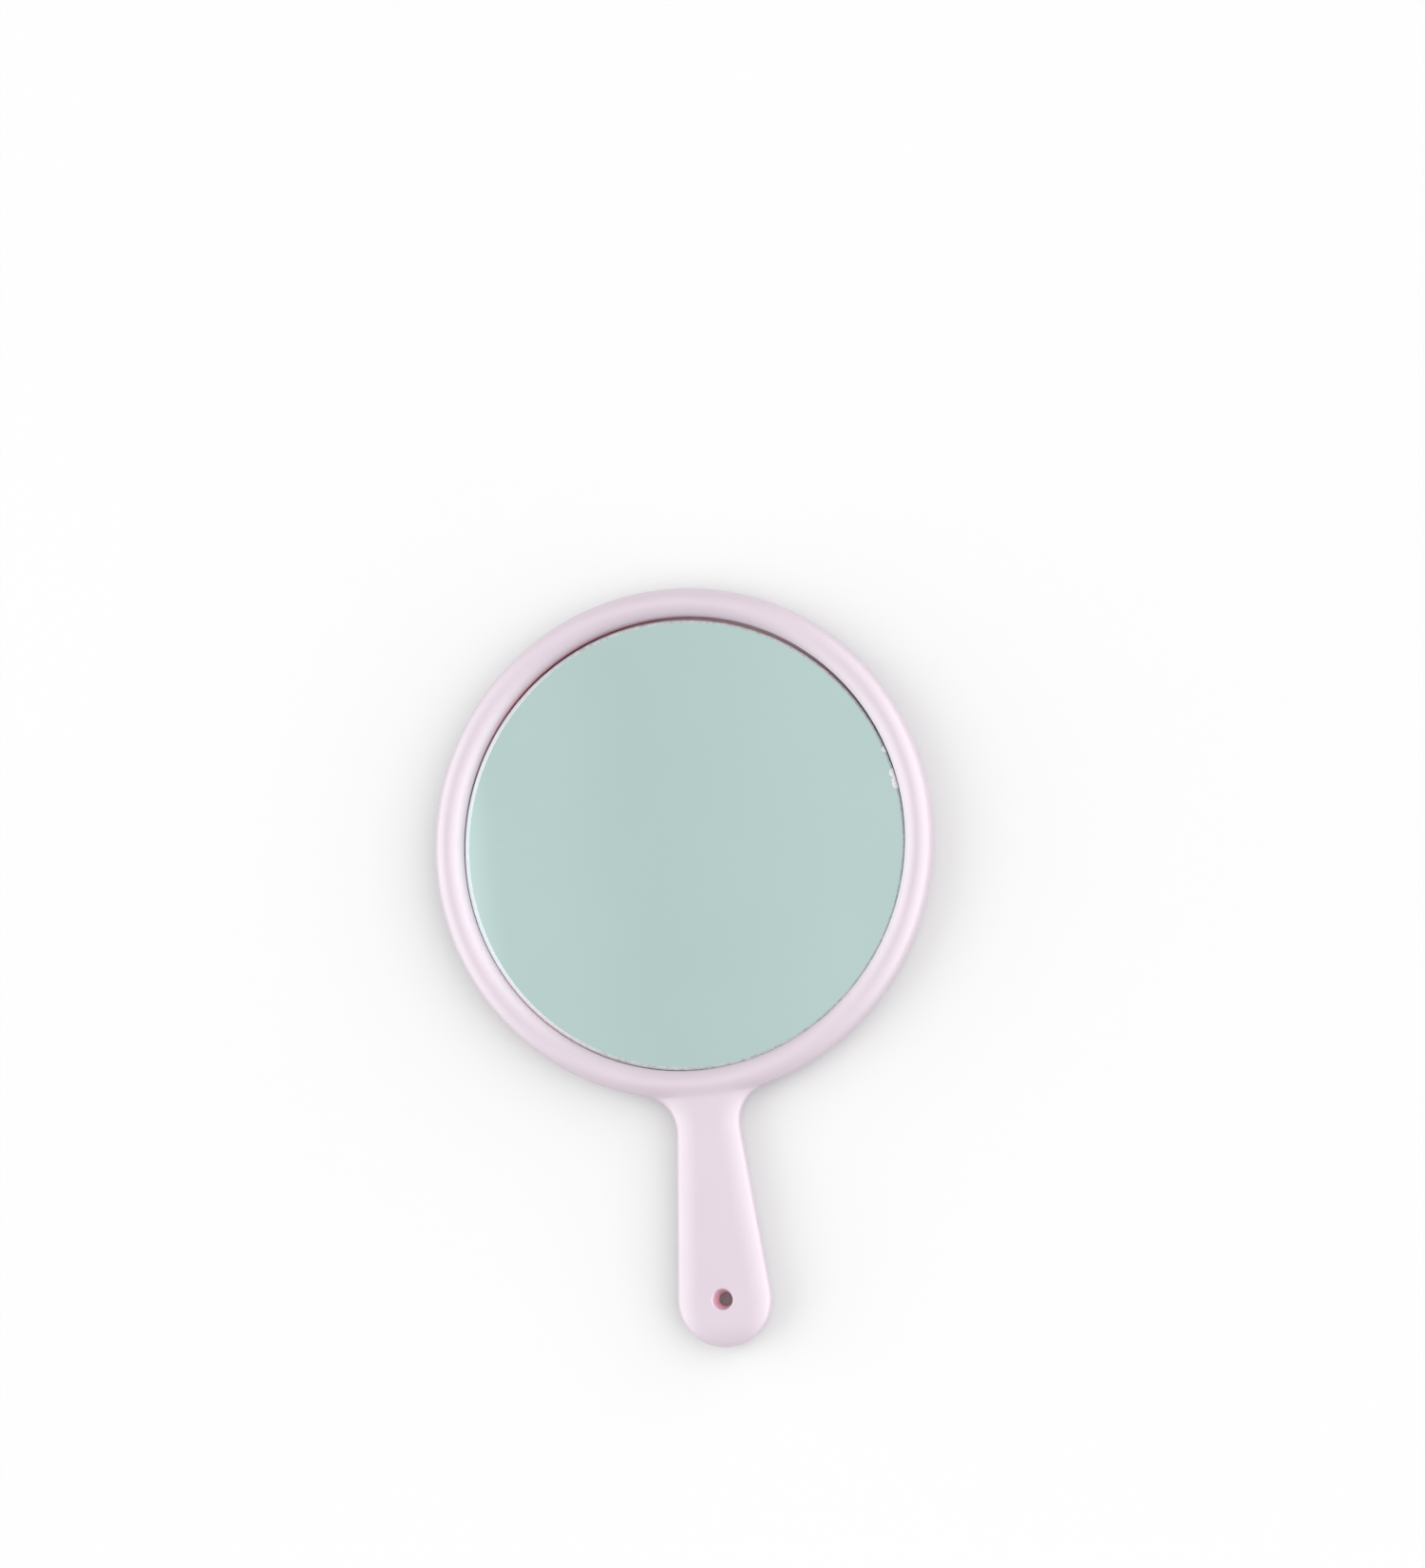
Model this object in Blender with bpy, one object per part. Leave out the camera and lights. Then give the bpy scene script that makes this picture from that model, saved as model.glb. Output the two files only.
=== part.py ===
"""Round hand mirror: two moulded shells, a silvered glass and the foam tape that bonds it in.

The mirror lies on its back. +Z is the way the glass faces and the handle runs towards -Y. Shapes
are worked out round the centre of the head, at the height of its flat back. The finished objects
are then moved along Y, so that the origin is under the middle of the whole mirror. All sizes are
in metres.
"""

import math

import bmesh
import bpy
from mathutils import Matrix, Vector

# Plan outline
HEAD_RADIUS = 0.0800
HOLE_REACH = 0.1426  # head centre to the hanging hole, the centre of the handle's round end
HANDLE_END_RADIUS = 0.0148
NECK_HALF_WIDTH = 0.0102  # square to the handle's side, where the neck fillet runs out
NECK_FILLET = 0.0120

# Heights: the shells meet at the parting line, where the outline is widest
PARTING_HEIGHT = 0.0076  # above the flat back
RIM_RISE = 0.0040  # rim's crest above the parting line
RIM_INNER_RISE = 0.0008  # where the rim's roll ends and the pocket wall starts
HANDLE_RISE = 0.0028  # handle's front face above the parting line
CREASE_BLEND = 0.0013  # softness of the crease between rim and handle

# Rim and edges
RIM_WIDTH = 0.0086  # outline to pocket wall
CREST_INSET = 0.0044  # outline to the rim's crest
RIM_LAND = 0.0008  # beside the pocket wall; the handle's front edge rolls in as far as this
BACK_ROLL = 0.0078  # how far the back's edge rolls in

# Walls and joints
WALL = 0.0020
BACK_WALL = 0.0018
POCKET_WALL = 0.0015
FIT = 0.0003  # gap between faces that meet
TONGUE_DEPTH = 0.0013  # the front shell's tongue below the parting line
RIB_THICKNESS = 0.0012
RIB_PITCH = 0.0100  # of the cross ribs along the handle
RIM_WEBS = 24  # radial webs round the rim, without those the handle takes

# Hanging hole
HOLE_WAIST_RADIUS = 0.0022
HOLE_MOUTH_RADIUS = 0.0031
HOLE_EDGE_RADIUS = 0.0006
HOLE_SLEEVE_WALL = 0.0014

# Locating pegs, in the handle
PEG_RADIUS = 0.0015
PEG_BOSS_WALL = 0.0014
PEG_RISE = 0.0020  # above the boss that carries it
PEG_COUNT = 2

# Glass and tape
GLASS_GAP = 0.0011  # glass to pocket wall
GLASS_THICKNESS = 0.0022
GLASS_ARRIS = 0.0004
GLASS_SHIFT = Vector((0.0003, -0.0004))  # laid in by hand, a little low in its pocket
TAPE_THICKNESS = 0.0008
TAPE_SIZE = (0.0500, 0.0180)
TAPE_CORNER = 0.0015
TAPE_RING_SHARE = 0.6  # of the glass's radius, out to the middle of the outer strips
TAPE_OUTER_STRIPS = 4

# Faces round each stretch of the outline
HEAD_STEPS = 64
FILLET_STEPS = 8
SIDE_STEPS = 5
END_STEPS = 16
RUNG_STEPS = 6
ROLL_STEPS = 6
ROUND_STEPS = 24

# Levels that follow from the sizes above
FRONT_BASE = PARTING_HEIGHT + FIT / 2
REAR_TOP = PARTING_HEIGHT - FIT / 2
TONGUE_FOOT = PARTING_HEIGHT - TONGUE_DEPTH
LEDGE = TONGUE_FOOT - FIT
SKIRT_FOOT = BACK_WALL + 1.5 * FIT
TAPE_FOOT = BACK_WALL + FIT
GLASS_FOOT = TAPE_FOOT + TAPE_THICKNESS + FIT
HANDLE_TOP = PARTING_HEIGHT + HANDLE_RISE
CLEAR = 0.0010  # how far a cutter runs past what it cuts
EDGE_OVERRUN = 0.00005  # how far a rounded edge's cutter starts outside the face
ROUNDING = 1e-5  # a share below this is a rounding error at a slope's foot
WELD_DISTANCE = 0.00001

# Radii and insets that follow from them
POCKET_RADIUS = HEAD_RADIUS - RIM_WIDTH
SKIRT_RADIUS = POCKET_RADIUS + POCKET_WALL
GLASS_RADIUS = POCKET_RADIUS - GLASS_GAP
TAPE_RING = GLASS_RADIUS * TAPE_RING_SHARE
SKIRT_STEP = 0.0002  # the skirt is this much thinner below the tongue's foot
LAND_INSET = RIM_WIDTH - RIM_LAND
CORE_INSET = HEAD_RADIUS - SKIRT_RADIUS
TONGUE_INSET = (WALL + FIT) / 2
REAR_LIP_INSET = TONGUE_INSET - FIT
HOLE_CENTRE = Vector((0.0, -HOLE_REACH))
MIDDLE_TO_HEAD = (HOLE_REACH + HANDLE_END_RADIUS - HEAD_RADIUS) / 2
SLEEVE_RADIUS = HOLE_MOUTH_RADIUS + HOLE_SLEEVE_WALL
BOSS_RADIUS = PEG_RADIUS + FIT + PEG_BOSS_WALL

# Half of the handle's outline, from the neck to the middle of its round end
HALF_HANDLE_STEPS = FILLET_STEPS + SIDE_STEPS + END_STEPS // 2


def arc(centre, radius, start, stop, steps, outward):
    """Points on an arc without its last one, each with the body's outward normal."""
    found = []
    for i in range(steps):
        angle = start + (stop - start) * i / steps
        spoke = Vector((math.cos(angle), math.sin(angle)))
        found.append((centre + spoke * radius, spoke * outward))
    return found


def side(start, stop, normal):
    """Points along a straight side without its last one, each with its normal."""
    return [(start.lerp(stop, i / SIDE_STEPS), normal) for i in range(SIDE_STEPS)]


def neck_fillet_centre(normal, along):
    """Centre of the +X neck fillet, which touches the head's circle and the handle's side."""
    offset = HANDLE_END_RADIUS + NECK_FILLET + normal.dot(HOLE_CENTRE)
    reach = HEAD_RADIUS + NECK_FILLET
    return normal * offset + along * math.sqrt(reach**2 - offset**2)


def plan_outline():
    """The outline with its normals: round the head from the neck's +X side, down the handle's
    -X side, round its end and back up the +X side."""
    straight = HOLE_REACH - HEAD_RADIUS - NECK_FILLET
    taper = math.asin((HANDLE_END_RADIUS - NECK_HALF_WIDTH) / straight)
    right = Vector((math.cos(taper), math.sin(taper)))
    left = Vector((-right.x, right.y))
    right_fillet = neck_fillet_centre(right, Vector((right.y, -right.x)))
    left_fillet = Vector((-right_fillet.x, right_fillet.y))
    neck = math.atan2(right_fillet.y, right_fillet.x)
    head_centre = Vector((0.0, 0.0))
    points = arc(head_centre, HEAD_RADIUS, neck, math.pi - neck, HEAD_STEPS, 1)
    points += arc(left_fillet, NECK_FILLET, -neck, -taper, FILLET_STEPS, -1)
    points += side(left_fillet - left * NECK_FILLET, HOLE_CENTRE + left * HANDLE_END_RADIUS, left)
    points += arc(HOLE_CENTRE, HANDLE_END_RADIUS, math.pi - taper, 2 * math.pi + taper, END_STEPS, 1)
    points += side(HOLE_CENTRE + right * HANDLE_END_RADIUS, right_fillet - right * NECK_FILLET, right)
    points += arc(right_fillet, NECK_FILLET, math.pi + taper, math.pi + neck, FILLET_STEPS, -1)
    return points


OUTLINE = plan_outline()
NECK_ANGLE = math.atan2(OUTLINE[0][0].y, OUTLINE[0][0].x)


def outline_inset(inset):
    return [point - normal * inset for point, normal in OUTLINE]


def junction_arc(radius):
    """Across the neck on a circle round the head, from +X to -X."""
    start, stop = NECK_ANGLE, -math.pi - NECK_ANGLE
    angles = [start + (stop - start) * i / RUNG_STEPS for i in range(RUNG_STEPS + 1)]
    return [Vector((radius * math.cos(a), radius * math.sin(a))) for a in angles]


def circle_inset(inset):
    """A circle round the head with the same points as the outline's head and the junction."""
    return outline_inset(inset)[: HEAD_STEPS + 1] + junction_arc(HEAD_RADIUS - inset)[-2:0:-1]


def quarter(share):
    """Height of a quarter ellipse, 0 at its foot and 1 at its top, where the slope is level."""
    if share < ROUNDING:
        return 0.0
    share = min(share, 1.0)
    return math.sqrt(share * (2 - share))


def rim_height(radius, wall):
    """Rim above the parting line, or the rim's ceiling inside a wall of that thickness."""
    inset = HEAD_RADIUS - radius
    rise = RIM_RISE - wall
    if inset <= CREST_INSET:
        return rise * quarter((inset - wall) / (CREST_INSET - wall))
    along = min((inset - CREST_INSET) / (RIM_WIDTH - CREST_INSET), 1.0)
    return rise - (RIM_RISE - RIM_INNER_RISE) * (1 - math.sqrt(1 - along**2))


def front_height(point, inset, wall, roll_end):
    """Front skin above the parting line: the rim and the handle, run into each other softly."""
    rim = rim_height(point.length, wall)
    crest_radius = HEAD_RADIUS - CREST_INSET
    land_radius = HEAD_RADIUS - roll_end
    fade = min(max((point.length - land_radius) / (crest_radius - land_radius), 0.0), 1.0)
    share = fade * quarter((inset - wall) / (roll_end - wall))
    handle = (HANDLE_RISE - wall) * share
    blend = CREASE_BLEND * share
    overlap = max(blend - abs(rim - handle), 0.0)
    return max(rim, handle) + (overlap**2 / (4 * blend) if blend else 0.0)


def lifted(points, height):
    return [(point.x, point.y, height) for point in points]


def strip(mesh, first, second, closed=True):
    """Faces between two rows of points."""
    rows = [[mesh.verts.new(co) for co in row] for row in (first, second)]
    count = len(first)
    for i in range(count if closed else count - 1):
        j = (i + 1) % count
        mesh.faces.new((rows[0][i], rows[0][j], rows[1][j], rows[1][i]))


def strips(mesh, rows, closed=True):
    for first, second in zip(rows, rows[1:]):
        strip(mesh, first, second, closed)


def cap(mesh, row):
    mesh.faces.new([mesh.verts.new(co) for co in row])


def annulus(mesh, outer, inner):
    """Two flat faces between an outline row and a circle row, split by two slanting edges, so
    that no cutter runs along an edge."""
    top, neck = HEAD_STEPS // 2, HEAD_STEPS
    cap(mesh, outer[top : neck + 1] + inner[top + 1 : neck][::-1])
    around = inner[neck - 1 :] + inner[: top + 2]
    cap(mesh, outer[neck:] + outer[: top + 1] + around[::-1])


def rungs(inset):
    """Rows across the handle between its two sides, inset, from the head's circle to its end."""
    loop = outline_inset(inset)
    first = junction_arc(HEAD_RADIUS - inset)
    rows = [first]
    for k in range(1, HALF_HANDLE_STEPS + 1):
        right = loop[-k]
        sag = max(1 - k / FILLET_STEPS, 0.0)
        rows.append(
            [
                Vector((right.x * p.x / first[0].x, right.y + sag * (p.y - first[0].y)))
                for p in first
            ]
        )
    return rows


def patch(mesh, insets, height):
    """A skin from the outline inset by the first inset to the circle round the head that the
    last one makes, and across the handle. height takes a plan point and its inset."""

    def raised(points, inset):
        return [(p.x, p.y, height(p, inset)) for p in points]

    strips(mesh, [raised(outline_inset(inset), inset) for inset in insets])
    strips(mesh, [raised(row, insets[-1]) for row in rungs(insets[-1])], closed=False)


def rolled(first, last, steps):
    """Insets from first to last that follow a quarter ellipse in equal turns."""
    turns = [math.pi / 2 * i / steps for i in range(steps + 1)]
    return [first + (last - first) * (1 - math.cos(turn)) for turn in turns]


def new_object(name, mesh, helper=False):
    """An object from a bmesh, welded and with its faces pointing out."""
    bmesh.ops.remove_doubles(mesh, verts=mesh.verts, dist=1e-6)
    bmesh.ops.recalc_face_normals(mesh, faces=mesh.faces)
    data = bpy.data.meshes.new(name)
    mesh.to_mesh(data)
    mesh.free()
    made = bpy.data.objects.new(name, data)
    bpy.context.scene.collection.objects.link(made)
    if helper:
        made.hide_render = True
        made.display_type = "WIRE"
    return made


def front_block():
    """The front shell before it is cored: rim, handle face, pocket wall and tongue."""
    mesh = bmesh.new()
    shoulder = math.asin((LAND_INSET - CREST_INSET) / (RIM_WIDTH - CREST_INSET))
    inner_turns = [shoulder * i / 3 for i in (1, 2, 3)]
    insets = rolled(0.0, CREST_INSET, ROLL_STEPS)
    insets += [CREST_INSET + (RIM_WIDTH - CREST_INSET) * math.sin(turn) for turn in inner_turns]
    patch(mesh, insets, lambda p, inset: FRONT_BASE + front_height(p, inset, 0.0, LAND_INSET))
    lip_turns = [shoulder + (math.pi / 2 - shoulder) * i / 3 for i in range(4)]
    lip = [CREST_INSET + (RIM_WIDTH - CREST_INSET) * math.sin(turn) for turn in lip_turns]
    rows = [lifted(circle_inset(i), FRONT_BASE + rim_height(HEAD_RADIUS - i, 0.0)) for i in lip]
    thin_skirt = CORE_INSET + SKIRT_STEP
    rows.append(lifted(circle_inset(RIM_WIDTH), SKIRT_FOOT))
    rows.append(lifted(circle_inset(thin_skirt), SKIRT_FOOT))
    rows.append(lifted(circle_inset(thin_skirt), TONGUE_FOOT))
    strips(mesh, rows)
    tongue = [lifted(outline_inset(TONGUE_INSET), z) for z in (FRONT_BASE, TONGUE_FOOT)]
    strips(mesh, [lifted(outline_inset(0.0), FRONT_BASE)] + tongue)
    annulus(mesh, tongue[-1], rows[-1])
    return new_object("front_shell", mesh)


def front_core():
    """What the mould's core leaves hollow behind the rim and inside the handle."""
    mesh = bmesh.new()
    foot = TONGUE_FOOT - CLEAR
    insets = rolled(WALL, CREST_INSET, ROLL_STEPS // 2)
    insets += [(CREST_INSET + CORE_INSET) / 2, CORE_INSET]
    patch(mesh, insets, lambda p, inset: PARTING_HEIGHT + front_height(p, inset, WALL, CORE_INSET))
    ceiling = PARTING_HEIGHT + rim_height(SKIRT_RADIUS, WALL)
    inner = [lifted(circle_inset(CORE_INSET), z) for z in (ceiling, foot)]
    outer = [lifted(outline_inset(WALL), z) for z in (PARTING_HEIGHT, foot)]
    strips(mesh, inner)
    strips(mesh, outer)
    annulus(mesh, outer[-1], inner[-1])
    return new_object("front_core", mesh, helper=True)


def rear_roll(first, foot, top):
    """Rows of a rolled edge, from the flat at the foot out to inset first at the top."""
    turns = [math.pi / 2 * i / ROLL_STEPS for i in range(ROLL_STEPS + 1)]
    return [
        lifted(
            outline_inset(first + (BACK_ROLL - first) * (1 - math.sin(turn))),
            foot + (top - foot) * (1 - math.cos(turn)),
        )
        for turn in turns
    ]


def rear_block():
    """The rear shell before it is cored: flat back, rolled edge and the lip round the tongue."""
    mesh = bmesh.new()
    rows = rear_roll(0.0, 0.0, REAR_TOP)
    rows.append(lifted(outline_inset(REAR_LIP_INSET), REAR_TOP))
    rows.append(lifted(outline_inset(REAR_LIP_INSET), LEDGE))
    strips(mesh, rows)
    cap(mesh, rows[0])
    cap(mesh, rows[-1])
    return new_object("rear_shell", mesh)


def rear_core():
    """What the mould's core leaves hollow above the back wall, the pocket's floor included."""
    mesh = bmesh.new()
    rows = rear_roll(WALL, BACK_WALL, LEDGE - FIT)
    rows.append(lifted(outline_inset(WALL), PARTING_HEIGHT + CLEAR))
    strips(mesh, rows)
    cap(mesh, rows[0])
    cap(mesh, rows[-1])
    return new_object("rear_core", mesh, helper=True)


def box(name, low, high, spin=0.0):
    """A helper block between two corners, turned about Z at the head's centre."""
    mesh = bmesh.new()
    bmesh.ops.create_cube(mesh, size=1.0)
    size = Vector(high) - Vector(low)
    middle = (Vector(high) + Vector(low)) / 2
    place = Matrix.Rotation(spin, 4, "Z") @ Matrix.Translation(middle) @ Matrix.Diagonal((*size, 1))
    bmesh.ops.transform(mesh, matrix=place, verts=mesh.verts)
    return new_object(name, mesh, helper=True)


def turned(name, profile, centre, steps=ROUND_STEPS, helper=False):
    """A solid of revolution about a vertical axis, from (radius, height) pairs, foot to top.
    Its first corner is half a step off +X, so that no corner falls on the mirror's centre line."""
    mesh = bmesh.new()
    angles = [2 * math.pi * (i + 0.5) / steps for i in range(steps)]
    rows = [
        [(centre.x + r * math.cos(a), centre.y + r * math.sin(a), z) for a in angles]
        for r, z in profile
    ]
    strips(mesh, rows)
    cap(mesh, rows[0])
    cap(mesh, rows[-1])
    return new_object(name, mesh, helper)


def peg_centres():
    """Two thirds of the way between cross ribs, evenly down the straight of the handle."""
    start = HEAD_RADIUS + NECK_FILLET + BOSS_RADIUS
    stop = HOLE_REACH - SLEEVE_RADIUS - 2 * BOSS_RADIUS
    gap = (stop - start) / (PEG_COUNT - 1)
    return [Vector((0.0, -start - gap * i)) for i in range(PEG_COUNT)]


def rib_stations():
    """How far down the handle each cross rib stands."""
    start = HEAD_RADIUS + NECK_FILLET / 2
    stop = HOLE_REACH - SLEEVE_RADIUS - RIB_THICKNESS
    count = int((stop - start) / RIB_PITCH)
    return [start + RIB_PITCH * i for i in range(count + 1)]


def web_angles():
    """Directions of the rim's webs, clear of the handle's neck."""
    steps = [2 * math.pi * (i + 0.5) / RIM_WEBS for i in range(RIM_WEBS)]
    neck_half = math.pi / 2 + NECK_ANGLE
    return [a for a in steps if abs(a - 1.5 * math.pi) > neck_half + RIB_THICKNESS / HEAD_RADIUS]


def islands(name, inner_radius, sleeve_radius):
    """The helpers that stand for ribs, webs, bosses and sleeve, in one collection."""
    low, high = -CLEAR, PARTING_HEIGHT + RIM_RISE + CLEAR
    half = RIB_THICKNESS / 2
    made = []
    for i, angle in enumerate(web_angles()):
        corners = (inner_radius, -half, low), (HEAD_RADIUS, half, high)
        made.append(box(f"{name}_web_{i + 1}", *corners, spin=angle))
    for i, station in enumerate(rib_stations()):
        corners = (-HEAD_RADIUS, -station - half, low), (HEAD_RADIUS, -station + half, high)
        made.append(box(f"{name}_rib_{i + 1}", *corners))
    made.append(box(f"{name}_spine", (-half, -HOLE_REACH, low), (half, -inner_radius, high)))
    for i, centre in enumerate(peg_centres()):
        profile = (BOSS_RADIUS, low), (BOSS_RADIUS, high)
        made.append(turned(f"{name}_boss_{i + 1}", profile, centre, helper=True))
    profile = (sleeve_radius, low), (sleeve_radius, high)
    made.append(turned(f"{name}_sleeve", profile, HOLE_CENTRE, helper=True))
    group = bpy.data.collections.new(name)
    bpy.context.scene.collection.children.link(group)
    for part in made:
        bpy.context.scene.collection.objects.unlink(part)
        group.objects.link(part)
    group.hide_render = True
    return group


def hole_cutter():
    """Both mouths round over and narrow to a waist halfway through the handle."""
    waist_top, waist_foot = HANDLE_TOP / 2 + FIT, HANDLE_TOP / 2 - FIT
    turns = [math.pi / 2 * i / 3 for i in range(4)]
    edge = [
        (
            HOLE_MOUTH_RADIUS + HOLE_EDGE_RADIUS * (1 - math.sin(turn)),
            HOLE_EDGE_RADIUS * (1 - math.cos(turn)) - EDGE_OVERRUN,
        )
        for turn in turns
    ]
    outside = HOLE_MOUTH_RADIUS + HOLE_EDGE_RADIUS
    foot = [(outside, -CLEAR)] + edge + [(HOLE_WAIST_RADIUS, waist_foot)]
    top = [(HOLE_WAIST_RADIUS, waist_top)]
    top += [(r, HANDLE_TOP + FIT / 2 - z) for r, z in reversed(edge)]
    top += [(outside, HANDLE_TOP + CLEAR)]
    return turned("hole_cutter", foot + top, HOLE_CENTRE, helper=True)


def boolean(target, operation, tool):
    """A Boolean modifier with an object or a collection as its tool."""
    modifier = target.modifiers.new(operation.lower(), "BOOLEAN")
    modifier.operation = operation
    modifier.solver = "EXACT"
    if isinstance(tool, bpy.types.Collection):
        modifier.operand_type = "COLLECTION"
        modifier.collection = tool
    else:
        modifier.object = tool


def weld(target):
    """Closes the hairline cracks that rounding leaves where a cutter runs along an edge."""
    modifier = target.modifiers.new("weld", "WELD")
    modifier.merge_threshold = WELD_DISTANCE


def make_front_shell(hole):
    shell = front_block()
    core = front_core()
    boolean(core, "DIFFERENCE", islands("front_islands", POCKET_RADIUS, SLEEVE_RADIUS))
    boolean(shell, "DIFFERENCE", core)
    boolean(shell, "DIFFERENCE", hole)
    for i, centre in enumerate(peg_centres()):
        radius = PEG_RADIUS + FIT
        profile = (radius, TONGUE_FOOT - CLEAR), (radius, LEDGE + PEG_RISE + FIT)
        boolean(shell, "DIFFERENCE", turned(f"socket_{i + 1}", profile, centre, helper=True))
    weld(shell)
    return shell


def make_rear_shell(hole):
    shell = rear_block()
    core = rear_core()
    boolean(core, "DIFFERENCE", islands("rear_islands", SKIRT_RADIUS + FIT, SLEEVE_RADIUS))
    boolean(shell, "DIFFERENCE", core)
    boolean(shell, "DIFFERENCE", hole)
    for i, centre in enumerate(peg_centres()):
        profile = (PEG_RADIUS, LEDGE - CLEAR), (PEG_RADIUS, LEDGE + PEG_RISE)
        boolean(shell, "UNION", turned(f"peg_{i + 1}", profile, centre, helper=True))
    weld(shell)
    return shell


def make_glass():
    top = GLASS_FOOT + GLASS_THICKNESS
    profile = [
        (GLASS_RADIUS - GLASS_ARRIS, GLASS_FOOT),
        (GLASS_RADIUS, GLASS_FOOT + GLASS_ARRIS),
        (GLASS_RADIUS, top - GLASS_ARRIS),
        (GLASS_RADIUS - GLASS_ARRIS, top),
    ]
    return turned("mirror_glass", profile, GLASS_SHIFT, steps=HEAD_STEPS)


def make_tape(name, centre, spin):
    """One strip of foam tape with its corners cut round."""
    mesh = bmesh.new()
    bmesh.ops.create_cube(mesh, size=1.0)
    bmesh.ops.scale(mesh, vec=(*TAPE_SIZE, TAPE_THICKNESS), verts=mesh.verts)
    upright = [e for e in mesh.edges if abs(e.verts[0].co.z - e.verts[1].co.z) > TAPE_THICKNESS / 2]
    bmesh.ops.bevel(mesh, geom=upright, offset=TAPE_CORNER, segments=3, affect="EDGES")
    strip_of_tape = new_object(name, mesh)
    strip_of_tape.location = (centre.x, centre.y, TAPE_FOOT + TAPE_THICKNESS / 2)
    strip_of_tape.rotation_euler.z = spin
    return strip_of_tape


def make_tapes():
    """A strip in the middle and the others square to their spokes round it."""
    made = [make_tape("foam_tape_centre", Vector((0.0, 0.0)), 0.0)]
    for i in range(TAPE_OUTER_STRIPS):
        angle = math.pi / 2 + 2 * math.pi * i / TAPE_OUTER_STRIPS
        spoke = Vector((math.cos(angle), math.sin(angle)))
        made.append(make_tape(f"foam_tape_{i + 1}", spoke * TAPE_RING, angle + math.pi / 2))
    return made


def material(name, colour, roughness, metallic=0.0):
    made = bpy.data.materials.new(name)
    made.use_nodes = True
    shader = made.node_tree.nodes["Principled BSDF"]
    shader.inputs["Base Color"].default_value = (*colour, 1.0)
    shader.inputs["Roughness"].default_value = roughness
    shader.inputs["Metallic"].default_value = metallic
    return made


def finish(part, surface, smooth_angle):
    part.data.materials.append(surface)
    part.data.shade_smooth()
    part.data.set_sharp_from_angle(angle=math.radians(smooth_angle))


def main():
    for leftover in list(bpy.data.objects):
        bpy.data.objects.remove(leftover)
    hole = hole_cutter()
    plastic = material("pale_pink_plastic", (0.80, 0.66, 0.74), 0.32)
    silver = material("silvered_glass", (0.50, 0.64, 0.61), 0.03, metallic=1.0)
    foam = material("white_foam_tape", (0.86, 0.86, 0.84), 0.90)
    finish(make_front_shell(hole), plastic, 40)
    finish(make_rear_shell(hole), plastic, 40)
    finish(make_glass(), silver, 30)
    for strip_of_tape in make_tapes():
        finish(strip_of_tape, foam, 30)
    for part in bpy.data.objects:
        part.location.y += MIDDLE_TO_HEAD


main()
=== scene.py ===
"""A round salon hand mirror on a pale studio floor.

The two moulded shells are rebuilt from the same rules as the solid model, at a finer step, and the
glass is made again with its ground edge. Everything is in metres, in the frame of the solid model:
the mirror lies on its back, +Z is the way the glass faces and the handle runs towards -Y.
"""

import math

import bmesh
import bpy
from bpy.props import FloatProperty, FloatVectorProperty, IntProperty, PointerProperty
from mathutils import Matrix, Vector


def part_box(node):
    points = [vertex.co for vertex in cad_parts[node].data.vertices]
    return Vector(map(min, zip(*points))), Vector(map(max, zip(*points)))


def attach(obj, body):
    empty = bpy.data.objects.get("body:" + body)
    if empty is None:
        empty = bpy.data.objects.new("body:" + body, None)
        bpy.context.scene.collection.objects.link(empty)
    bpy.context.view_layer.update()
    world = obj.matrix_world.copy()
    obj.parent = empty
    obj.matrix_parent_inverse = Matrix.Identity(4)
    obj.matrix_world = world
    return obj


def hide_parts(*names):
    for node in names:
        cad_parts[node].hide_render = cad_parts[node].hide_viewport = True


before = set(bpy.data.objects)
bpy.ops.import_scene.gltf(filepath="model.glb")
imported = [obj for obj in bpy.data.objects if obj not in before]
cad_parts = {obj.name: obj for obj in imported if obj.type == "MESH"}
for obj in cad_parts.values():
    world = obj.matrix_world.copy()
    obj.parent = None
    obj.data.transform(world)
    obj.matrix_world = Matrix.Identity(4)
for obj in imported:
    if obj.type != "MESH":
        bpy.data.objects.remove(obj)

bl_info = {
    "name": "Salon Hand Mirror",
    "version": (1, 0, 0),
    "blender": (4, 5, 0),
    "location": "View3D > Sidebar > Hand Mirror",
    "description": "Builds a round salon hand mirror and its studio, piece by piece",
    "category": "Add Mesh",
}

FRONT_LOW, FRONT_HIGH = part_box("front_shell")
REAR_LOW, REAR_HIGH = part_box("rear_shell")
GLASS_LOW, GLASS_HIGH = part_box("mirror_glass")
BODY = "root"

# Faces round each stretch of the outline where it is as coarse as it gets
HEAD_STEPS = 64
FILLET_STEPS = 8
SIDE_STEPS = 5
END_STEPS = 16
RUNG_STEPS = 6
ROLL_STEPS = 6
EDGE_STEPS = 3
HOLE_RUNGS = 2  # steps above the hanging hole's level at which its rings start
ROUND_STEPS = 24  # round a peg, a boss or the sleeve
GLASS_STEPS = 720
GLASS_SIDE_STEPS = 16
FLOOR_STEPS = 96

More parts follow.
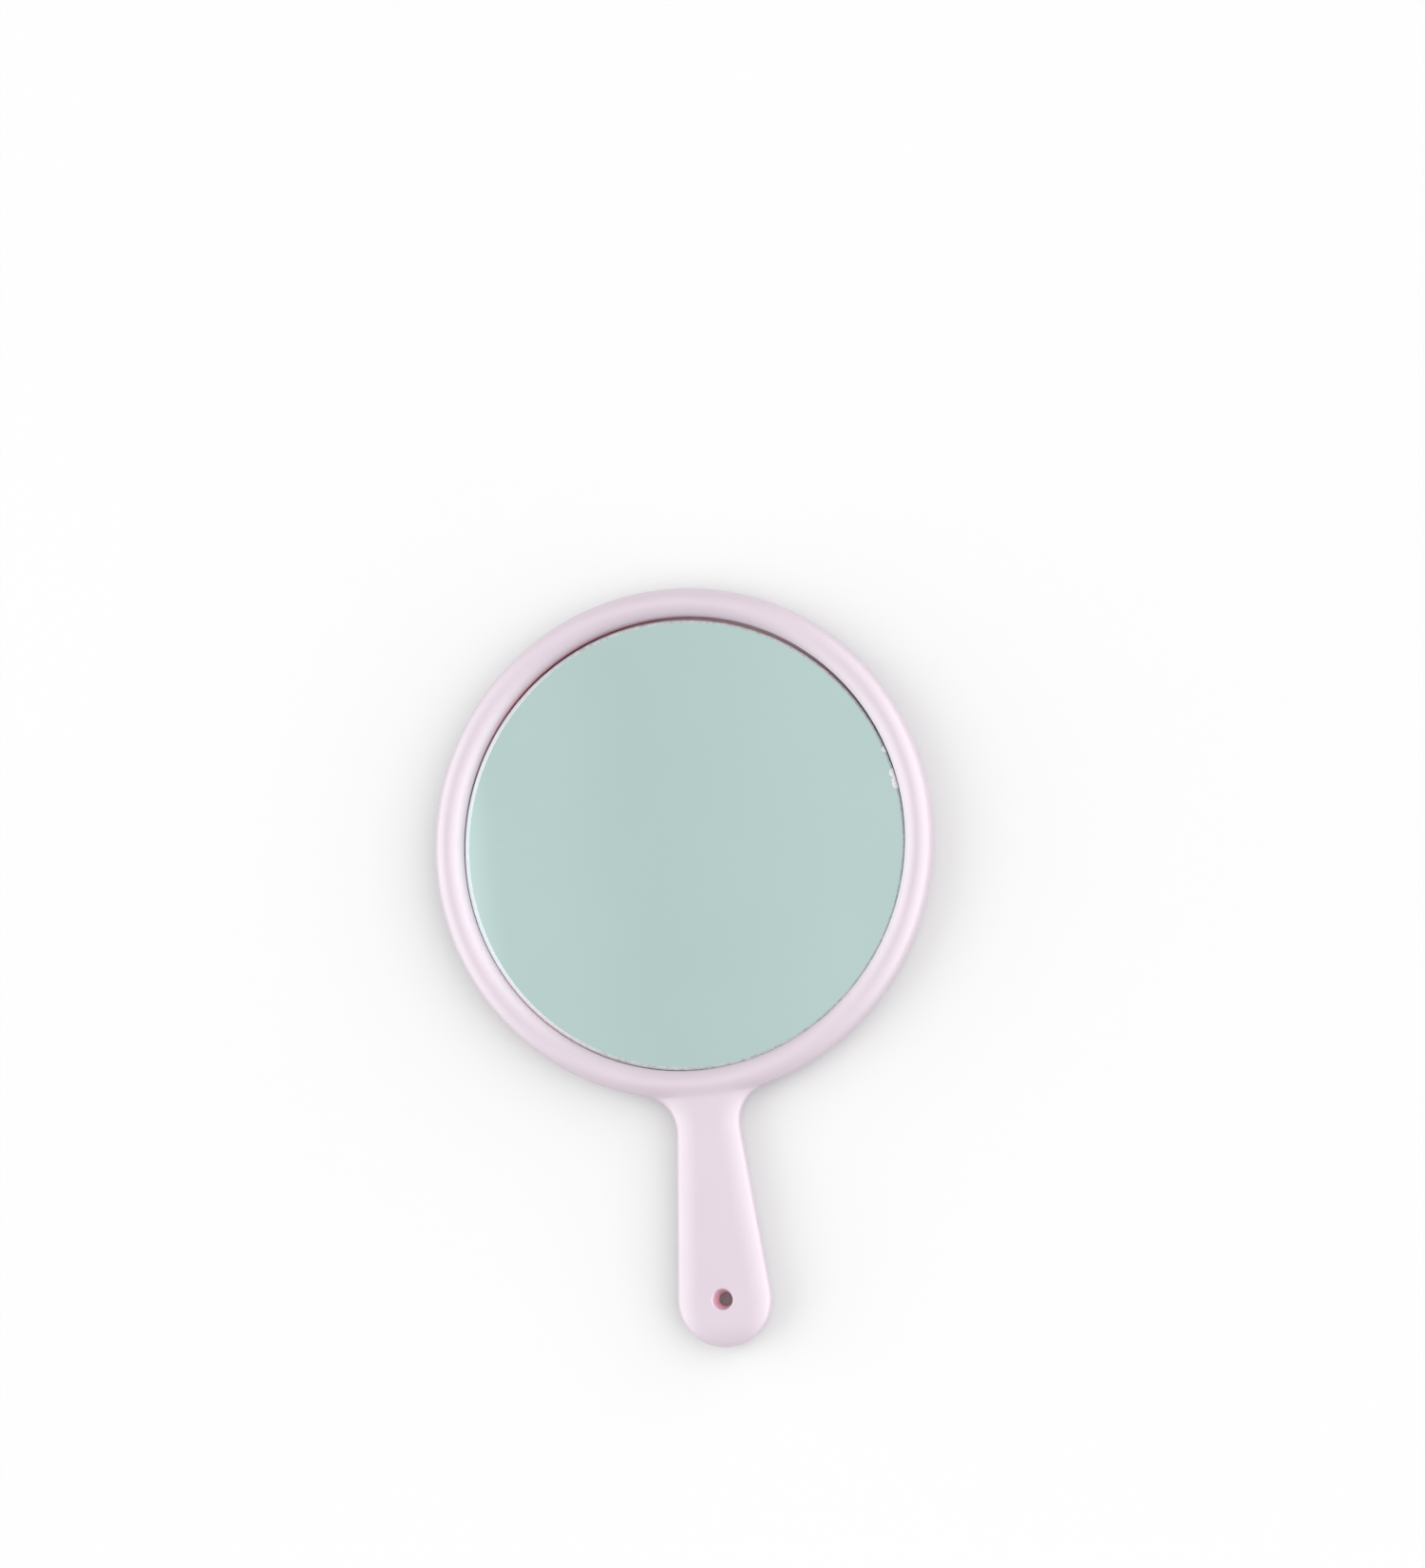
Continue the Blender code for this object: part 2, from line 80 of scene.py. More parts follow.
CLEAR = 0.0010  # how far a cutter runs past what it cuts
ROUNDING = 1e-5  # a share below this is a rounding error at a slope's foot
JOINED = 1e-6  # points of a skin closer than this are one
WELDED = 1e-5  # and so are points closer than this after a cut
MID_ROUND = 0.3  # how far in a quarter round is at its middle, as a share of its radius
HOLE_MARGIN = 0.0003  # flat round the hanging hole's rounded edge
HOLE_ROWS = 0.35, 0.7  # rows on the way to it from the handle's edge, as shares
SKIRT_STEP = 0.0002  # how much thinner the pocket's wall is below the tongue
BACK_ROWS = 0.0004, 0.0012  # rows on the flat back, in from its rolled edge
SHELL_CREASE = 35  # degrees past which an edge is drawn sharp
GLASS_CREASE = 40
LEVEL = 0.999  # a face whose normal has more Z than this is flat

ARRIS_ROUND = 1.3  # 1 is a straight bevel, and more is a rounder one
CHIPS = (0.0, 1.0), (2.6, 0.8), (9.0, 0.55)  # degrees past the first, and share of its reach
CHIP_GRAIN = 1400.0  # roughness of a chip's bottom, in cycles a metre

FLOOR_RADIUS = 4.0
SENSOR_WIDTH = 36.0


# ---------------------------------------------------------------- settings


def figure(label, note, value, **given):
    return FloatProperty(name=label, description=note, default=value, **given)


def length(label, note, value, precision=4):
    return figure(label, note, value, precision=precision, unit="LENGTH")


def angle(label, note, degrees):
    return figure(label, note, math.radians(degrees), subtype="ANGLE")


def figures(label, note, value, subtype):
    return FloatVectorProperty(
        name=label, description=note, default=value, precision=4, size=len(value), subtype=subtype
    )


def colour(label, note, value):
    return figures(label, note, value, "COLOR")


class MirrorSizes(bpy.types.PropertyGroup):
    """Sizes of the shells and the glass."""

    detail: IntProperty(name="Detail", description="Times finer than the coarse outline", default=3)
    head_radius: length("Head radius", "Head centre to the rim's outer edge", 0.0800)
    end_radius: length("Handle end", "Radius of the handle's round end", 0.0148)
    neck_half_width: length(
        "Neck half width", "Half the handle's width where the neck fillet runs out", 0.0102
    )
    neck_fillet: length("Neck fillet", "Radius between the head and the handle", 0.0120)
    rim_width: length("Rim width", "Outline to the wall round the glass", 0.0086)
    crest_inset: length("Crest inset", "Outline to the rim's crest", 0.0044)
    rim_inner_rise: length(
        "Inner rise", "Height above the joint at which the rim's roll meets its inner wall", 0.0008
    )
    rim_land: length(
        "Rim land", "What lies between the handle's edge roll and the inner wall", 0.0008
    )
    handle_rise: length("Handle rise", "Handle's front face above the joint", 0.0028)
    crease_blend: length("Crease blend", "Softness of the crease between rim and handle", 0.0013)
    back_roll: length("Back roll", "How far the back's edge rolls in", 0.0078)
    seam_round: length(
        "Seam round", "Radius of the shells' edges at their joint", 0.00015, precision=5
    )
    wall: length("Wall", "Shell wall", 0.0020)
    back_wall: length("Back wall", "Wall behind the glass", 0.0018)
    pocket_wall: length("Pocket wall", "Wall round the glass", 0.0015)
    fit: length("Fit", "Gap between faces that meet", 0.0003)
    tongue_depth: length(
        "Tongue", "How far the front shell's tongue reaches into the rear shell", 0.0013
    )
    hole_waist: length("Hole waist", "Radius of the hanging hole at mid-depth", 0.0022)
    hole_mouth: length("Hole mouth", "Radius of the hanging hole inside its rounded edge", 0.0031)
    hole_edge: length("Hole edge", "Rounding of the hanging hole's edge", 0.0006)
    sleeve_wall: length(
        "Sleeve wall", "Wall round the hanging hole's mouth, inside the handle", 0.0014
    )
    rib_thickness: length("Rib", "Thickness of ribs", 0.0012)
    rib_pitch: length("Rib pitch", "Spacing of the ribs along the handle", 0.0100)
    rim_webs: IntProperty(
        name="Rim webs", description="Radial webs in a full turn of the rim", default=24
    )
    peg_radius: length("Peg", "Locating peg radius", 0.0015)
    peg_rise: length("Peg rise", "Peg above its boss", 0.0020)
    boss_wall: length("Boss wall", "Wall round a peg's socket", 0.0014)
    glass_gap: length(
        "Glass gap", "Glass to the pocket's wall, with the glass in the middle", 0.0006
    )
    glass_shift: figures(
        "Glass shift",
        "How far off the pocket's middle the glass was laid",
        (-0.0003, -0.00035),
        "XYZ",
    )
    arris: length("Arris", "Mean width of the glass's ground edge", 0.0010)
    arris_lean: figure(
        "Arris lean",
        "How much wider the ground edge is at -X than its mean, as a share",
        0.45,
        subtype="FACTOR",
    )
    arris_depth: length("Arris depth", "Depth of the glass's ground edge", 0.0005)
    chip_turn: angle("Chip place", "Where the glass's edge is chipped, from +X", 9.3)
    chip_reach: length("Chip size", "Reach of the largest chip along the glass's edge", 0.0022)


class MirrorColours(bpy.types.PropertyGroup):
    """Colours of the plastic, glass, foam and floor."""

    plastic: colour("Plastic", "Pale pink satin plastic", (0.462, 0.384, 0.445))
    # Painted shade and glow: this deeper pink is painted down in the pocket, and brighter in the
    # hanging hole
    pocket: colour(
        "Pocket wall", "The plastic's deeper pink down in the pocket", (0.55, 0.31, 0.37)
    )
    # Partly the glass's own green and partly a painted reflection of teal surroundings
    silver: colour("Silver", "Silver seen through the glass", (0.635, 0.815, 0.782))
    ground_edge: colour("Ground edge", "Ground edge of the glass", (0.78, 0.90, 0.90))
    chip: colour("Chip", "Broken glass where the edge is chipped", (0.94, 0.96, 0.96))
    backing: colour("Backing paint", "Paint behind the silver", (0.20, 0.22, 0.22))
    foam: colour("Foam tape", "Foam tape behind the glass", (0.80, 0.80, 0.78))
    floor: colour("Floor", "Studio floor", (0.65, 0.65, 0.65))


class StudioSettings(bpy.types.PropertyGroup):
    """Camera, and the brightness of the room."""

    camera_distance: length("Camera distance", "To the aim point", 1.40)
    camera_turn: angle(
        "Camera turn", "Which way the camera leans off the vertical, from +X", -26.57
    )
    camera_lean: angle("Camera lean", "How far the camera leans off the vertical", 13.9)
    camera_roll: angle("Camera roll", "Roll about the line of sight", -5.49)
    camera_lens: figure("Lens", "Focal length on a 36 mm wide sensor", 113.05)
    aim: figures(
        "Aim",
        "Aim point from the head's centre, at the height of the joint",
        (0.01177, 0.01712),
        "XYZ",
    )
    zenith: figure("Overhead", "Brightness of the room overhead", 0.735)
    sides: figure("Side walls", "Brightness of the room's left and right walls", 2.75)
    ends: figure("End walls", "Brightness of the room's near and far walls", 0.70)


# ---------------------------------------------------------------- outline and heights


def quarter(share):
    """Height of a quarter ellipse, 0 at its foot and 1 at its top, where the slope is level."""
    if share < ROUNDING:
        return 0.0
    share = min(share, 1.0)
    return math.sqrt(share * (2 - share))


def rolled(first, last, steps):
    """Insets from first to last that follow a quarter ellipse in equal turns."""
    turns = [math.pi / 2 * i / steps for i in range(steps + 1)]
    return [first + (last - first) * (1 - math.cos(turn)) for turn in turns]


class Plan:
    """The mirror's outline and the heights over it, at one fineness. Its points are worked out
    round the head's centre, and lifted() puts them in the frame of the solid model."""

    def __init__(self, sizes, detail):
        self.sizes = sizes
        self.detail = detail
        self.head_steps = HEAD_STEPS * detail
        self.fillet_steps = FILLET_STEPS * detail
        self.side_steps = SIDE_STEPS * detail
        self.end_steps = END_STEPS * detail
        self.rung_steps = RUNG_STEPS * detail
        self.roll_steps = ROLL_STEPS * detail
        self.centre_y = FRONT_HIGH.y - sizes.head_radius
        self.hole_reach = self.centre_y - FRONT_LOW.y - sizes.end_radius
        self.hole = Vector((0.0, -self.hole_reach))
        self.fit = sizes.fit
        self.ledge = REAR_HIGH.z - sizes.peg_rise
        self.tongue_foot = self.ledge + self.fit
        self.parting = self.tongue_foot + sizes.tongue_depth
        self.rear_top = self.parting - self.fit / 2
        self.front_base = self.parting + self.fit / 2
        self.rim_rise = FRONT_HIGH.z - self.front_base
        self.skirt_foot = FRONT_LOW.z
        self.handle_top = self.parting + sizes.handle_rise
        self.land_inset = sizes.rim_width - sizes.rim_land
        self.pocket_radius = sizes.head_radius - sizes.rim_width
        self.skirt_radius = self.pocket_radius + sizes.pocket_wall
        self.core_inset = sizes.head_radius - self.skirt_radius
        self.tongue_inset = (sizes.wall + self.fit) / 2
        self.points = self.outline()
        start = self.points[0][0]
        self.neck_angle = math.atan2(start.y, start.x)

    def arc(self, centre, radius, start, stop, steps, outward):
        found = []
        for i in range(steps):
            angle = start + (stop - start) * i / steps
            spoke = Vector((math.cos(angle), math.sin(angle)))
            found.append((centre + spoke * radius, spoke * outward))
        return found

    def side(self, start, stop, normal):
        return [(start.lerp(stop, i / self.side_steps), normal) for i in range(self.side_steps)]

    def outline(self):
        """Points and outward normals: round the head from the neck's +X side, down the handle's
        -X side, round its end and back up the +X side."""
        sizes, hole = self.sizes, self.hole
        fillet, end = sizes.neck_fillet, sizes.end_radius
        straight = self.hole_reach - sizes.head_radius - fillet
        taper = math.asin((end - sizes.neck_half_width) / straight)
        right = Vector((math.cos(taper), math.sin(taper)))
        along = Vector((right.y, -right.x))
        offset = end + fillet + right.dot(hole)
        reach = sizes.head_radius + fillet
        right_centre = right * offset + along * math.sqrt(reach**2 - offset**2)
        left, left_centre = Vector((-right.x, right.y)), Vector((-right_centre.x, right_centre.y))
        neck = math.atan2(right_centre.y, right_centre.x)
        head = Vector((0.0, 0.0))
        points = self.arc(head, sizes.head_radius, neck, math.pi - neck, self.head_steps, 1)
        points += self.arc(left_centre, fillet, -neck, -taper, self.fillet_steps, -1)
        points += self.side(left_centre - left * fillet, hole + left * end, left)
        points += self.arc(hole, end, math.pi - taper, 2 * math.pi + taper, self.end_steps, 1)
        points += self.side(hole + right * end, right_centre - right * fillet, right)
        turns = math.pi + taper, math.pi + neck
        return points + self.arc(right_centre, fillet, *turns, self.fillet_steps, -1)

    def inset(self, inset):
        return [point - normal * inset for point, normal in self.points]

    def junction(self, radius):
        """Across the neck on a circle round the head, from +X to -X."""
        start, stop = self.neck_angle, -math.pi - self.neck_angle
        count = self.rung_steps
        angles = [start + (stop - start) * i / count for i in range(count + 1)]
        return [Vector((radius * math.cos(a), radius * math.sin(a))) for a in angles]

    def circle(self, inset):
        """A circle round the head that shares the outline's points, closed across the neck."""
        across = self.junction(self.sizes.head_radius - inset)
        return self.inset(inset)[: self.head_steps + 1] + across[-2:0:-1]

    def rungs(self, inset, last):
        """Rows across the handle between its sides, from the head's circle to the last row."""
        loop = self.inset(inset)
        first = self.junction(self.sizes.head_radius - inset)
        rows = [first]
        for k in range(1, last + 1):
            right = loop[-k]
            sag = max(1 - k / self.fillet_steps, 0.0)
            rows.append(
                [
                    Vector((right.x * p.x / first[0].x, right.y + sag * (p.y - first[0].y)))
                    for p in first
                ]
            )
        return rows

    @property
    def all_rungs(self):
        return self.fillet_steps + self.side_steps + self.end_steps // 2

    @property
    def last_rung(self):
        """The rung above the hanging hole, where the rows give way to rings round the hole."""
        return self.fillet_steps + self.side_steps - HOLE_RUNGS * self.detail

    def rim_height(self, radius, wall):
        """Rim above the parting line, or its ceiling inside a wall of that thickness."""
        sizes = self.sizes
        inset = sizes.head_radius - radius
        rise = self.rim_rise - wall
        if inset <= sizes.crest_inset:
            return rise * quarter((inset - wall) / (sizes.crest_inset - wall))
        along = min((inset - sizes.crest_inset) / (sizes.rim_width - sizes.crest_inset), 1.0)
        return rise - (self.rim_rise - sizes.rim_inner_rise) * (1 - math.sqrt(1 - along**2))

    def front_height(self, point, inset, wall, roll_end):
        """Front skin above the parting line: rim and handle, run into each other softly."""
        sizes = self.sizes
        rim = self.rim_height(point.length, wall)
        crest_radius = sizes.head_radius - sizes.crest_inset
        land_radius = sizes.head_radius - roll_end
        fade = (point.length - land_radius) / (crest_radius - land_radius)
        share = min(max(fade, 0.0), 1.0) * quarter((inset - wall) / (roll_end - wall))
        handle = (sizes.handle_rise - wall) * share
        blend = sizes.crease_blend * share
        overlap = max(blend - abs(rim - handle), 0.0)
        return max(rim, handle) + (overlap**2 / (4 * blend) if blend else 0.0)

    def hole_radius(self, height):
        """The hanging hole narrows from both mouths to a waist at mid-depth."""
        sizes = self.sizes
        middle = self.handle_top / 2
        rise = middle - self.fit - sizes.hole_edge
        share = min(max((abs(height - middle) - self.fit) / rise, 0.0), 1.0)
        return sizes.hole_waist + (sizes.hole_mouth - sizes.hole_waist) * share

    def hole_edge(self, face, inward):
        """(radius, height) down the hole's rounded edge from a face; inward is -1 or 1."""
        sizes = self.sizes
        steps = EDGE_STEPS * self.detail
        found = []
        for i in range(steps + 1):
            turn = math.pi / 2 * i / steps
            depth = sizes.hole_edge * (1 - math.cos(turn))
            flare = sizes.hole_edge * (1 - math.sin(turn))
            found.append((sizes.hole_mouth + flare, face + inward * depth))
        return found

    def lifted(self, points, height):
        return [(point.x, point.y + self.centre_y, height) for point in points]

    def rear_roll(self, first, foot, top):
        """Rows of the rolled edge, from the flat at the foot out to inset first at the top."""
        roll = self.sizes.back_roll
        turns = [math.pi / 2 * i / self.roll_steps for i in range(self.roll_steps + 1)]
        return [
            self.lifted(
                self.inset(first + (roll - first) * (1 - math.sin(turn))),
                foot + (top - foot) * (1 - math.cos(turn)),
            )
            for turn in turns
        ]

    def peg_centres(self):
        sizes = self.sizes
        boss = sizes.peg_radius + self.fit + sizes.boss_wall
        sleeve = sizes.hole_mouth + sizes.sleeve_wall
        start = sizes.head_radius + sizes.neck_fillet + boss
        return start, self.hole_reach - sleeve - 2 * boss


class Skin:
    """A closed mesh put together from rows of points."""

    def __init__(self, plan):
        self.plan = plan
        self.mesh = bmesh.new()

    def strips(self, rows, closed=True):
        for first, second in zip(rows, rows[1:]):
            pair = [[self.mesh.verts.new(co) for co in row] for row in (first, second)]
            count = len(first)
            for i in range(count if closed else count - 1):
                j = (i + 1) % count
                self.mesh.faces.new((pair[0][i], pair[0][j], pair[1][j], pair[1][i]))

    def cap(self, row):
        self.mesh.faces.new([self.mesh.verts.new(co) for co in row])

    def patch(self, insets, height, last=None):
        """A skin from the outline to the circle round the head that the last inset makes, and
        across the handle as far as the last rung. height takes a plan point and its inset."""
        plan = self.plan

        def raised(points, inset):
            return [(p.x, p.y + plan.centre_y, height(p, inset)) for p in points]

        self.strips([raised(plan.inset(inset), inset) for inset in insets])
        rungs = plan.rungs(insets[-1], plan.all_rungs if last is None else last)
        self.strips([raised(row, insets[-1]) for row in rungs], closed=False)

    def ring(self, loop, radius, height):
        """A round row about the hanging hole, with a point towards each point of the loop."""
        plan = self.plan
        centre = plan.hole
        spokes = [(p - centre).normalized() for p in loop]
        return plan.lifted([centre + spoke * radius for spoke in spokes], height)

    def hole_loop(self, inset):
        """The loop that the rungs leave open round the hanging hole."""
        plan = self.plan
        loop, stop = plan.inset(inset), plan.last_rung
        across = plan.rungs(inset, stop)[-1]
        return loop[plan.head_steps + stop : len(loop) - stop + 1] + across[1:-1]

    def funnel(self, inset, face, inward, foot):
        """The flat round the hanging hole, its rounded edge and its wall down to the foot."""
        plan = self.plan
        loop = self.hole_loop(inset)
        edge = plan.hole_edge(face, inward)
        mouth = edge[0][0]
        rows = [plan.lifted(loop, face)]
        centre = plan.hole
        rim = mouth + HOLE_MARGIN
        near = [centre + (p - centre).normalized() * rim for p in loop]
        for share in HOLE_ROWS:
            rows.append(plan.lifted([a.lerp(b, share) for a, b in zip(loop, near)], face))
        rows.append(self.ring(loop, rim, face))
        rows += [self.ring(loop, radius, height) for radius, height in edge]
        middle = plan.handle_top / 2
        levels = [edge[-1][1], middle + plan.fit, middle - plan.fit, foot]
        if inward > 0:
            levels = [edge[-1][1], middle - plan.fit, middle + plan.fit, foot]
        for height in levels[1:]:
            if (height - levels[0]) * inward > 0 and (foot - height) * inward >= 0:
                rows.append(self.ring(loop, plan.hole_radius(height), height))
        self.strips(rows)
        return rows[-1]

    def plate(self, outer, ring, circle=None):
        """Flat faces between an outline row, the ring of the hanging hole and, where there is
        one, a circle round the head. Their shared edges slant, so that no cutter follows them."""
        plan = self.plan
        top, neck, stop = plan.head_steps // 2, plan.head_steps, plan.last_rung
        left, right = neck + stop + 2, len(outer) - stop - 2
        last = len(outer) - 2 * stop - neck - 1
        self.cap(outer[left : right + 1] + ring[1 : last + 1][::-1])
        over = (ring[last:] + ring[:2])[::-1]
        if circle is None:
            self.cap(outer[right:] + outer[: left + 1] + over)
            return
        self.cap(outer[top : neck + 1] + circle[top + 1 : neck][::-1])
        around = (circle[neck - 1 :] + circle[: top + 2])[::-1]
        self.cap(outer[right:] + outer[: top + 1] + around + outer[neck : left + 1] + over)

    def annulus(self, outer, circle):
        """Flat faces between an outline row and a circle round the head."""
        top, neck = self.plan.head_steps // 2, self.plan.head_steps
        self.cap(outer[top : neck + 1] + circle[top + 1 : neck][::-1])
        around = circle[neck - 1 :] + circle[: top + 2]
        self.cap(outer[neck:] + outer[: top + 1] + around[::-1])

    def finish(self, name):
        mesh = self.mesh
        bmesh.ops.remove_doubles(mesh, verts=mesh.verts, dist=JOINED)
        bmesh.ops.recalc_face_normals(mesh, faces=mesh.faces)
        data = bpy.data.meshes.new(name)
        mesh.to_mesh(data)
        mesh.free()
        return link(bpy.data.objects.new(name, data))


def link(made):
    bpy.context.scene.collection.objects.link(made)
    return made


# ---------------------------------------------------------------- nodes


class NodeMaker:
    """Adds nodes to one tree. Settings are set first, then the sockets."""

    def __init__(self, tree):
        self.tree = tree

    def node(self, kind, settings=None, inputs=None):
        made = self.tree.nodes.new(kind)
        for name, value in (settings or {}).items():
            setattr(made, name, value)
        for key, value in (inputs or {}).items():
            self.put(made.inputs[key], value)
        return made

    def put(self, socket, value):
        value = getattr(value, "socket", value)
        if isinstance(value, bpy.types.NodeSocket):
            self.tree.links.new(value, socket)
        else:
            socket.default_value = value

    def result(self, kind, inputs=None, **settings):
        """A new node's first output."""
        return Value(self, self.node(kind, settings, inputs).outputs[0])


class Value:
    """A socket that takes part in sums and products as a number does."""

    def __init__(self, maker, socket):
        self.maker = maker
        self.socket = socket

    def maths(self, operation, *inputs):
        return self.maker.result("ShaderNodeMath", dict(enumerate(inputs)), operation=operation)

    def __add__(self, other):
        return self.maths("ADD", self, other)

    def __sub__(self, other):
        return self.maths("SUBTRACT", self, other)

    def __rsub__(self, other):
        return self.maths("SUBTRACT", other, self)

    def __mul__(self, other):
        return self.maths("MULTIPLY", self, other)

    def __truediv__(self, other):
        return self.maths("DIVIDE", self, other)

    def __rtruediv__(self, other):
        return self.maths("DIVIDE", other, self)

    def __pow__(self, other):
        return self.maths("POWER", self, other)

    __radd__ = __add__
    __rmul__ = __mul__

    def __abs__(self):
        return self.maths("ABSOLUTE", self)

    def root(self):
        return self.maths("SQRT", self)

    def at_least(self, low):
        return self.maths("MAXIMUM", self, low)

    def below(self, limit):
        """1 below the limit and 0 from there on."""
        return self.maths("LESS_THAN", self, limit)

    def between(self, low, high):
        """0 at and below low, 1 at and above high, with a soft step between."""
        inputs = {"Value": self, "From Min": low, "From Max": high}
        made = self.maker.node("ShaderNodeMapRange", {"interpolation_type": "SMOOTHSTEP"}, inputs)
        return Value(self.maker, made.outputs["Result"])

    def axes(self):
        """The parts of a vector, one value for each axis."""
        split = self.maker.node("ShaderNodeSeparateXYZ", None, {0: self}).outputs
        return [Value(self.maker, split[name]) for name in "XYZ"]


def apart(x, y):
    """How far off (0, 0) a pair of values is."""
    return (x * x + y * y) ** 0.5


# ---------------------------------------------------------------- geometry nodes


class Rule(NodeMaker):
    """A Geometry Nodes tree with named inputs, given with the values to run it with."""

    def __init__(self, name, inputs):
        tree = bpy.data.node_groups.new(name, "GeometryNodeTree")
        super().__init__(tree)
        self.name = name
        tree.interface.new_socket("Geometry", in_out="OUTPUT", socket_type="NodeSocketGeometry")
        self.values = {}
        kinds = {int: "NodeSocketInt", float: "NodeSocketFloat", tuple: "NodeSocketVector"}
        for label, value in inputs.items():
            kind = kinds[type(value)]
            socket = tree.interface.new_socket(label, in_out="INPUT", socket_type=kind)
            self.values[socket.identifier] = value
        given = tree.nodes.new("NodeGroupInput").outputs
        self.given = {label: Value(self, given[label]) for label in inputs}

    def vector(self, x=0.0, y=0.0, z=0.0):
        return self.result("ShaderNodeCombineXYZ", {"X": x, "Y": y, "Z": z})

    def copies(self, points, shape, rotation=None):
        given = {"Points": points, "Instance": shape}
        if rotation is not None:
            given["Rotation"] = rotation
        return self.result("GeometryNodeInstanceOnPoints", given)

    def row(self, count, start, pitch):
        """Points a pitch apart down the handle, the first at start from the head's centre."""
        back, step = self.vector(y=start * -1.0), self.vector(y=pitch * -1.0)
        inputs = {"Count": count, "Start Location": back, "Offset": step}
        return self.result("GeometryNodeMeshLine", inputs)

    def posts(self, row, radius, height):
        """Round posts on a row of points, each with a flat towards +X."""
        inputs = {"Vertices": ROUND_STEPS, "Radius": radius, "Depth": height}
        post = self.result("GeometryNodeMeshCylinder", inputs)
        return self.copies(row, post, (0.0, 0.0, math.pi / ROUND_STEPS))

    def built(self, parts, material, centre):
        """Joins the parts, runs the tree on an empty mesh and returns a plain object."""
        joined = self.node("GeometryNodeJoinGeometry")
        for part in reversed(parts):
            self.put(joined.inputs[0], part)
        solid = self.result("GeometryNodeRealizeInstances", {"Geometry": joined.outputs[0]})
        inputs = {"Geometry": solid, "Material": material}
        end = self.tree.nodes.new("NodeGroupOutput")
        self.put(end.inputs[0], self.result("GeometryNodeSetMaterial", inputs))
        holder = link(bpy.data.objects.new(self.name, bpy.data.meshes.new(self.name)))
        modifier = holder.modifiers.new("rule", "NODES")
        modifier.node_group = self.tree
        for identifier, value in self.values.items():
            modifier[identifier] = value
        settled(holder).data.transform(Matrix.Translation(centre))
        return holder


def settled(piece):
    """Puts the evaluated mesh in the place of the piece's own, and drops its modifiers."""
    graph = bpy.context.evaluated_depsgraph_get()
    data = bpy.data.meshes.new_from_object(piece.evaluated_get(graph), depsgraph=graph)
    data.name = piece.name
    old = piece.data
    piece.modifiers.clear()
    piece.data = data
    bpy.data.meshes.remove(old)
    return piece


def stiffeners(plan, name, inner_radius, material):
    """What the mould leaves standing in a shell's hollow: webs round the rim, ribs and a spine
    along the handle, the pegs' bosses and the sleeve round the hanging hole."""
    sizes = plan.sizes
    low, high = REAR_LOW.z - CLEAR, FRONT_HIGH.z + CLEAR
    sleeve = sizes.hole_mouth + sizes.sleeve_wall
    first = sizes.head_radius + sizes.neck_fillet / 2
    last = plan.hole_reach - sleeve - sizes.rib_thickness
    peg_first, peg_last = plan.peg_centres()
    reach = (sizes.head_radius + inner_radius) / 2
    neck_turn = math.pi / 2 + plan.neck_angle + sizes.rib_thickness / sizes.head_radius
    rule = Rule(
        name,
        {
            "Rim webs": sizes.rim_webs,
            "Web reach": reach,
            "Web length": sizes.head_radius - inner_radius,
            "Rib thickness": sizes.rib_thickness,
            "Height": high - low,
            "Neck clearance": reach * math.sin(neck_turn),
            "Cross ribs": int((last - first) / sizes.rib_pitch) + 1,
            "First rib": first,
            "Rib pitch": sizes.rib_pitch,
            "Rib length": 2 * sizes.head_radius,
            "Spine start": inner_radius,
            "Hole reach": plan.hole_reach,
            "Boss radius": sizes.peg_radius + plan.fit + sizes.boss_wall,
            "First boss": peg_first,
            "Boss spacing": peg_last - peg_first,
            "Sleeve radius": sleeve,
        },
    )
    given = rule.given
    height, thin, count = given["Height"], given["Rib thickness"], given["Rim webs"]
    start, stop = given["Spine start"], given["Hole reach"]

    def block(along, across):
        return rule.result("GeometryNodeMeshCube", {"Size": rule.vector(along, across, height)})

    ring = rule.result("GeometryNodeMeshCircle", {"Vertices": count, "Radius": given["Web reach"]})
    half_web = rule.vector(z=math.pi / count)
    turned = rule.result("GeometryNodeTransform", {"Geometry": ring, "Rotation": half_web})
    place = rule.result("GeometryNodeInputPosition")
    x, y, _ = place.axes()
    at_neck = abs(x).below(given["Neck clearance"]) * y.below(0.0)
    inputs = {"Geometry": turned, "Selection": at_neck}
    kept = rule.result("GeometryNodeDeleteGeometry", inputs, domain="POINT")
    spoke = rule.result("FunctionNodeAlignRotationToVector", {"Vector": place}, axis="X")
    webs = rule.copies(kept, block(given["Web length"], thin), spoke)
    rungs = rule.row(given["Cross ribs"], given["First rib"], given["Rib pitch"])
    ribs = rule.copies(rungs, block(given["Rib length"], thin))
    inputs = {
        "Geometry": block(thin, stop - start),
        "Translation": rule.vector(y=(stop + start) * -0.5),
    }
    spine = rule.result("GeometryNodeTransform", inputs)
    pair = rule.row(2, given["First boss"], given["Boss spacing"])
    bosses = rule.posts(pair, given["Boss radius"], height)
    sleeves = rule.posts(rule.row(1, stop, 0.0), given["Sleeve radius"], height)
    middle = Vector((0.0, plan.centre_y, (low + high) / 2))
    return rule.built([webs, ribs, spine, bosses, sleeves], material, middle)


def pegs(plan, name, radius, low, high, material):
    """Round posts at the two peg places, as a cutter or to be joined on."""
    first, last = plan.peg_centres()
    inputs = {"Radius": radius, "Height": high - low, "First": first, "Spacing": last - first}
    rule = Rule(name, inputs)
    given = rule.given
    posts = rule.posts(
        rule.row(2, given["First"], given["Spacing"]), given["Radius"], given["Height"]
    )
    return rule.built([posts], material, Vector((0.0, plan.centre_y, (low + high) / 2)))


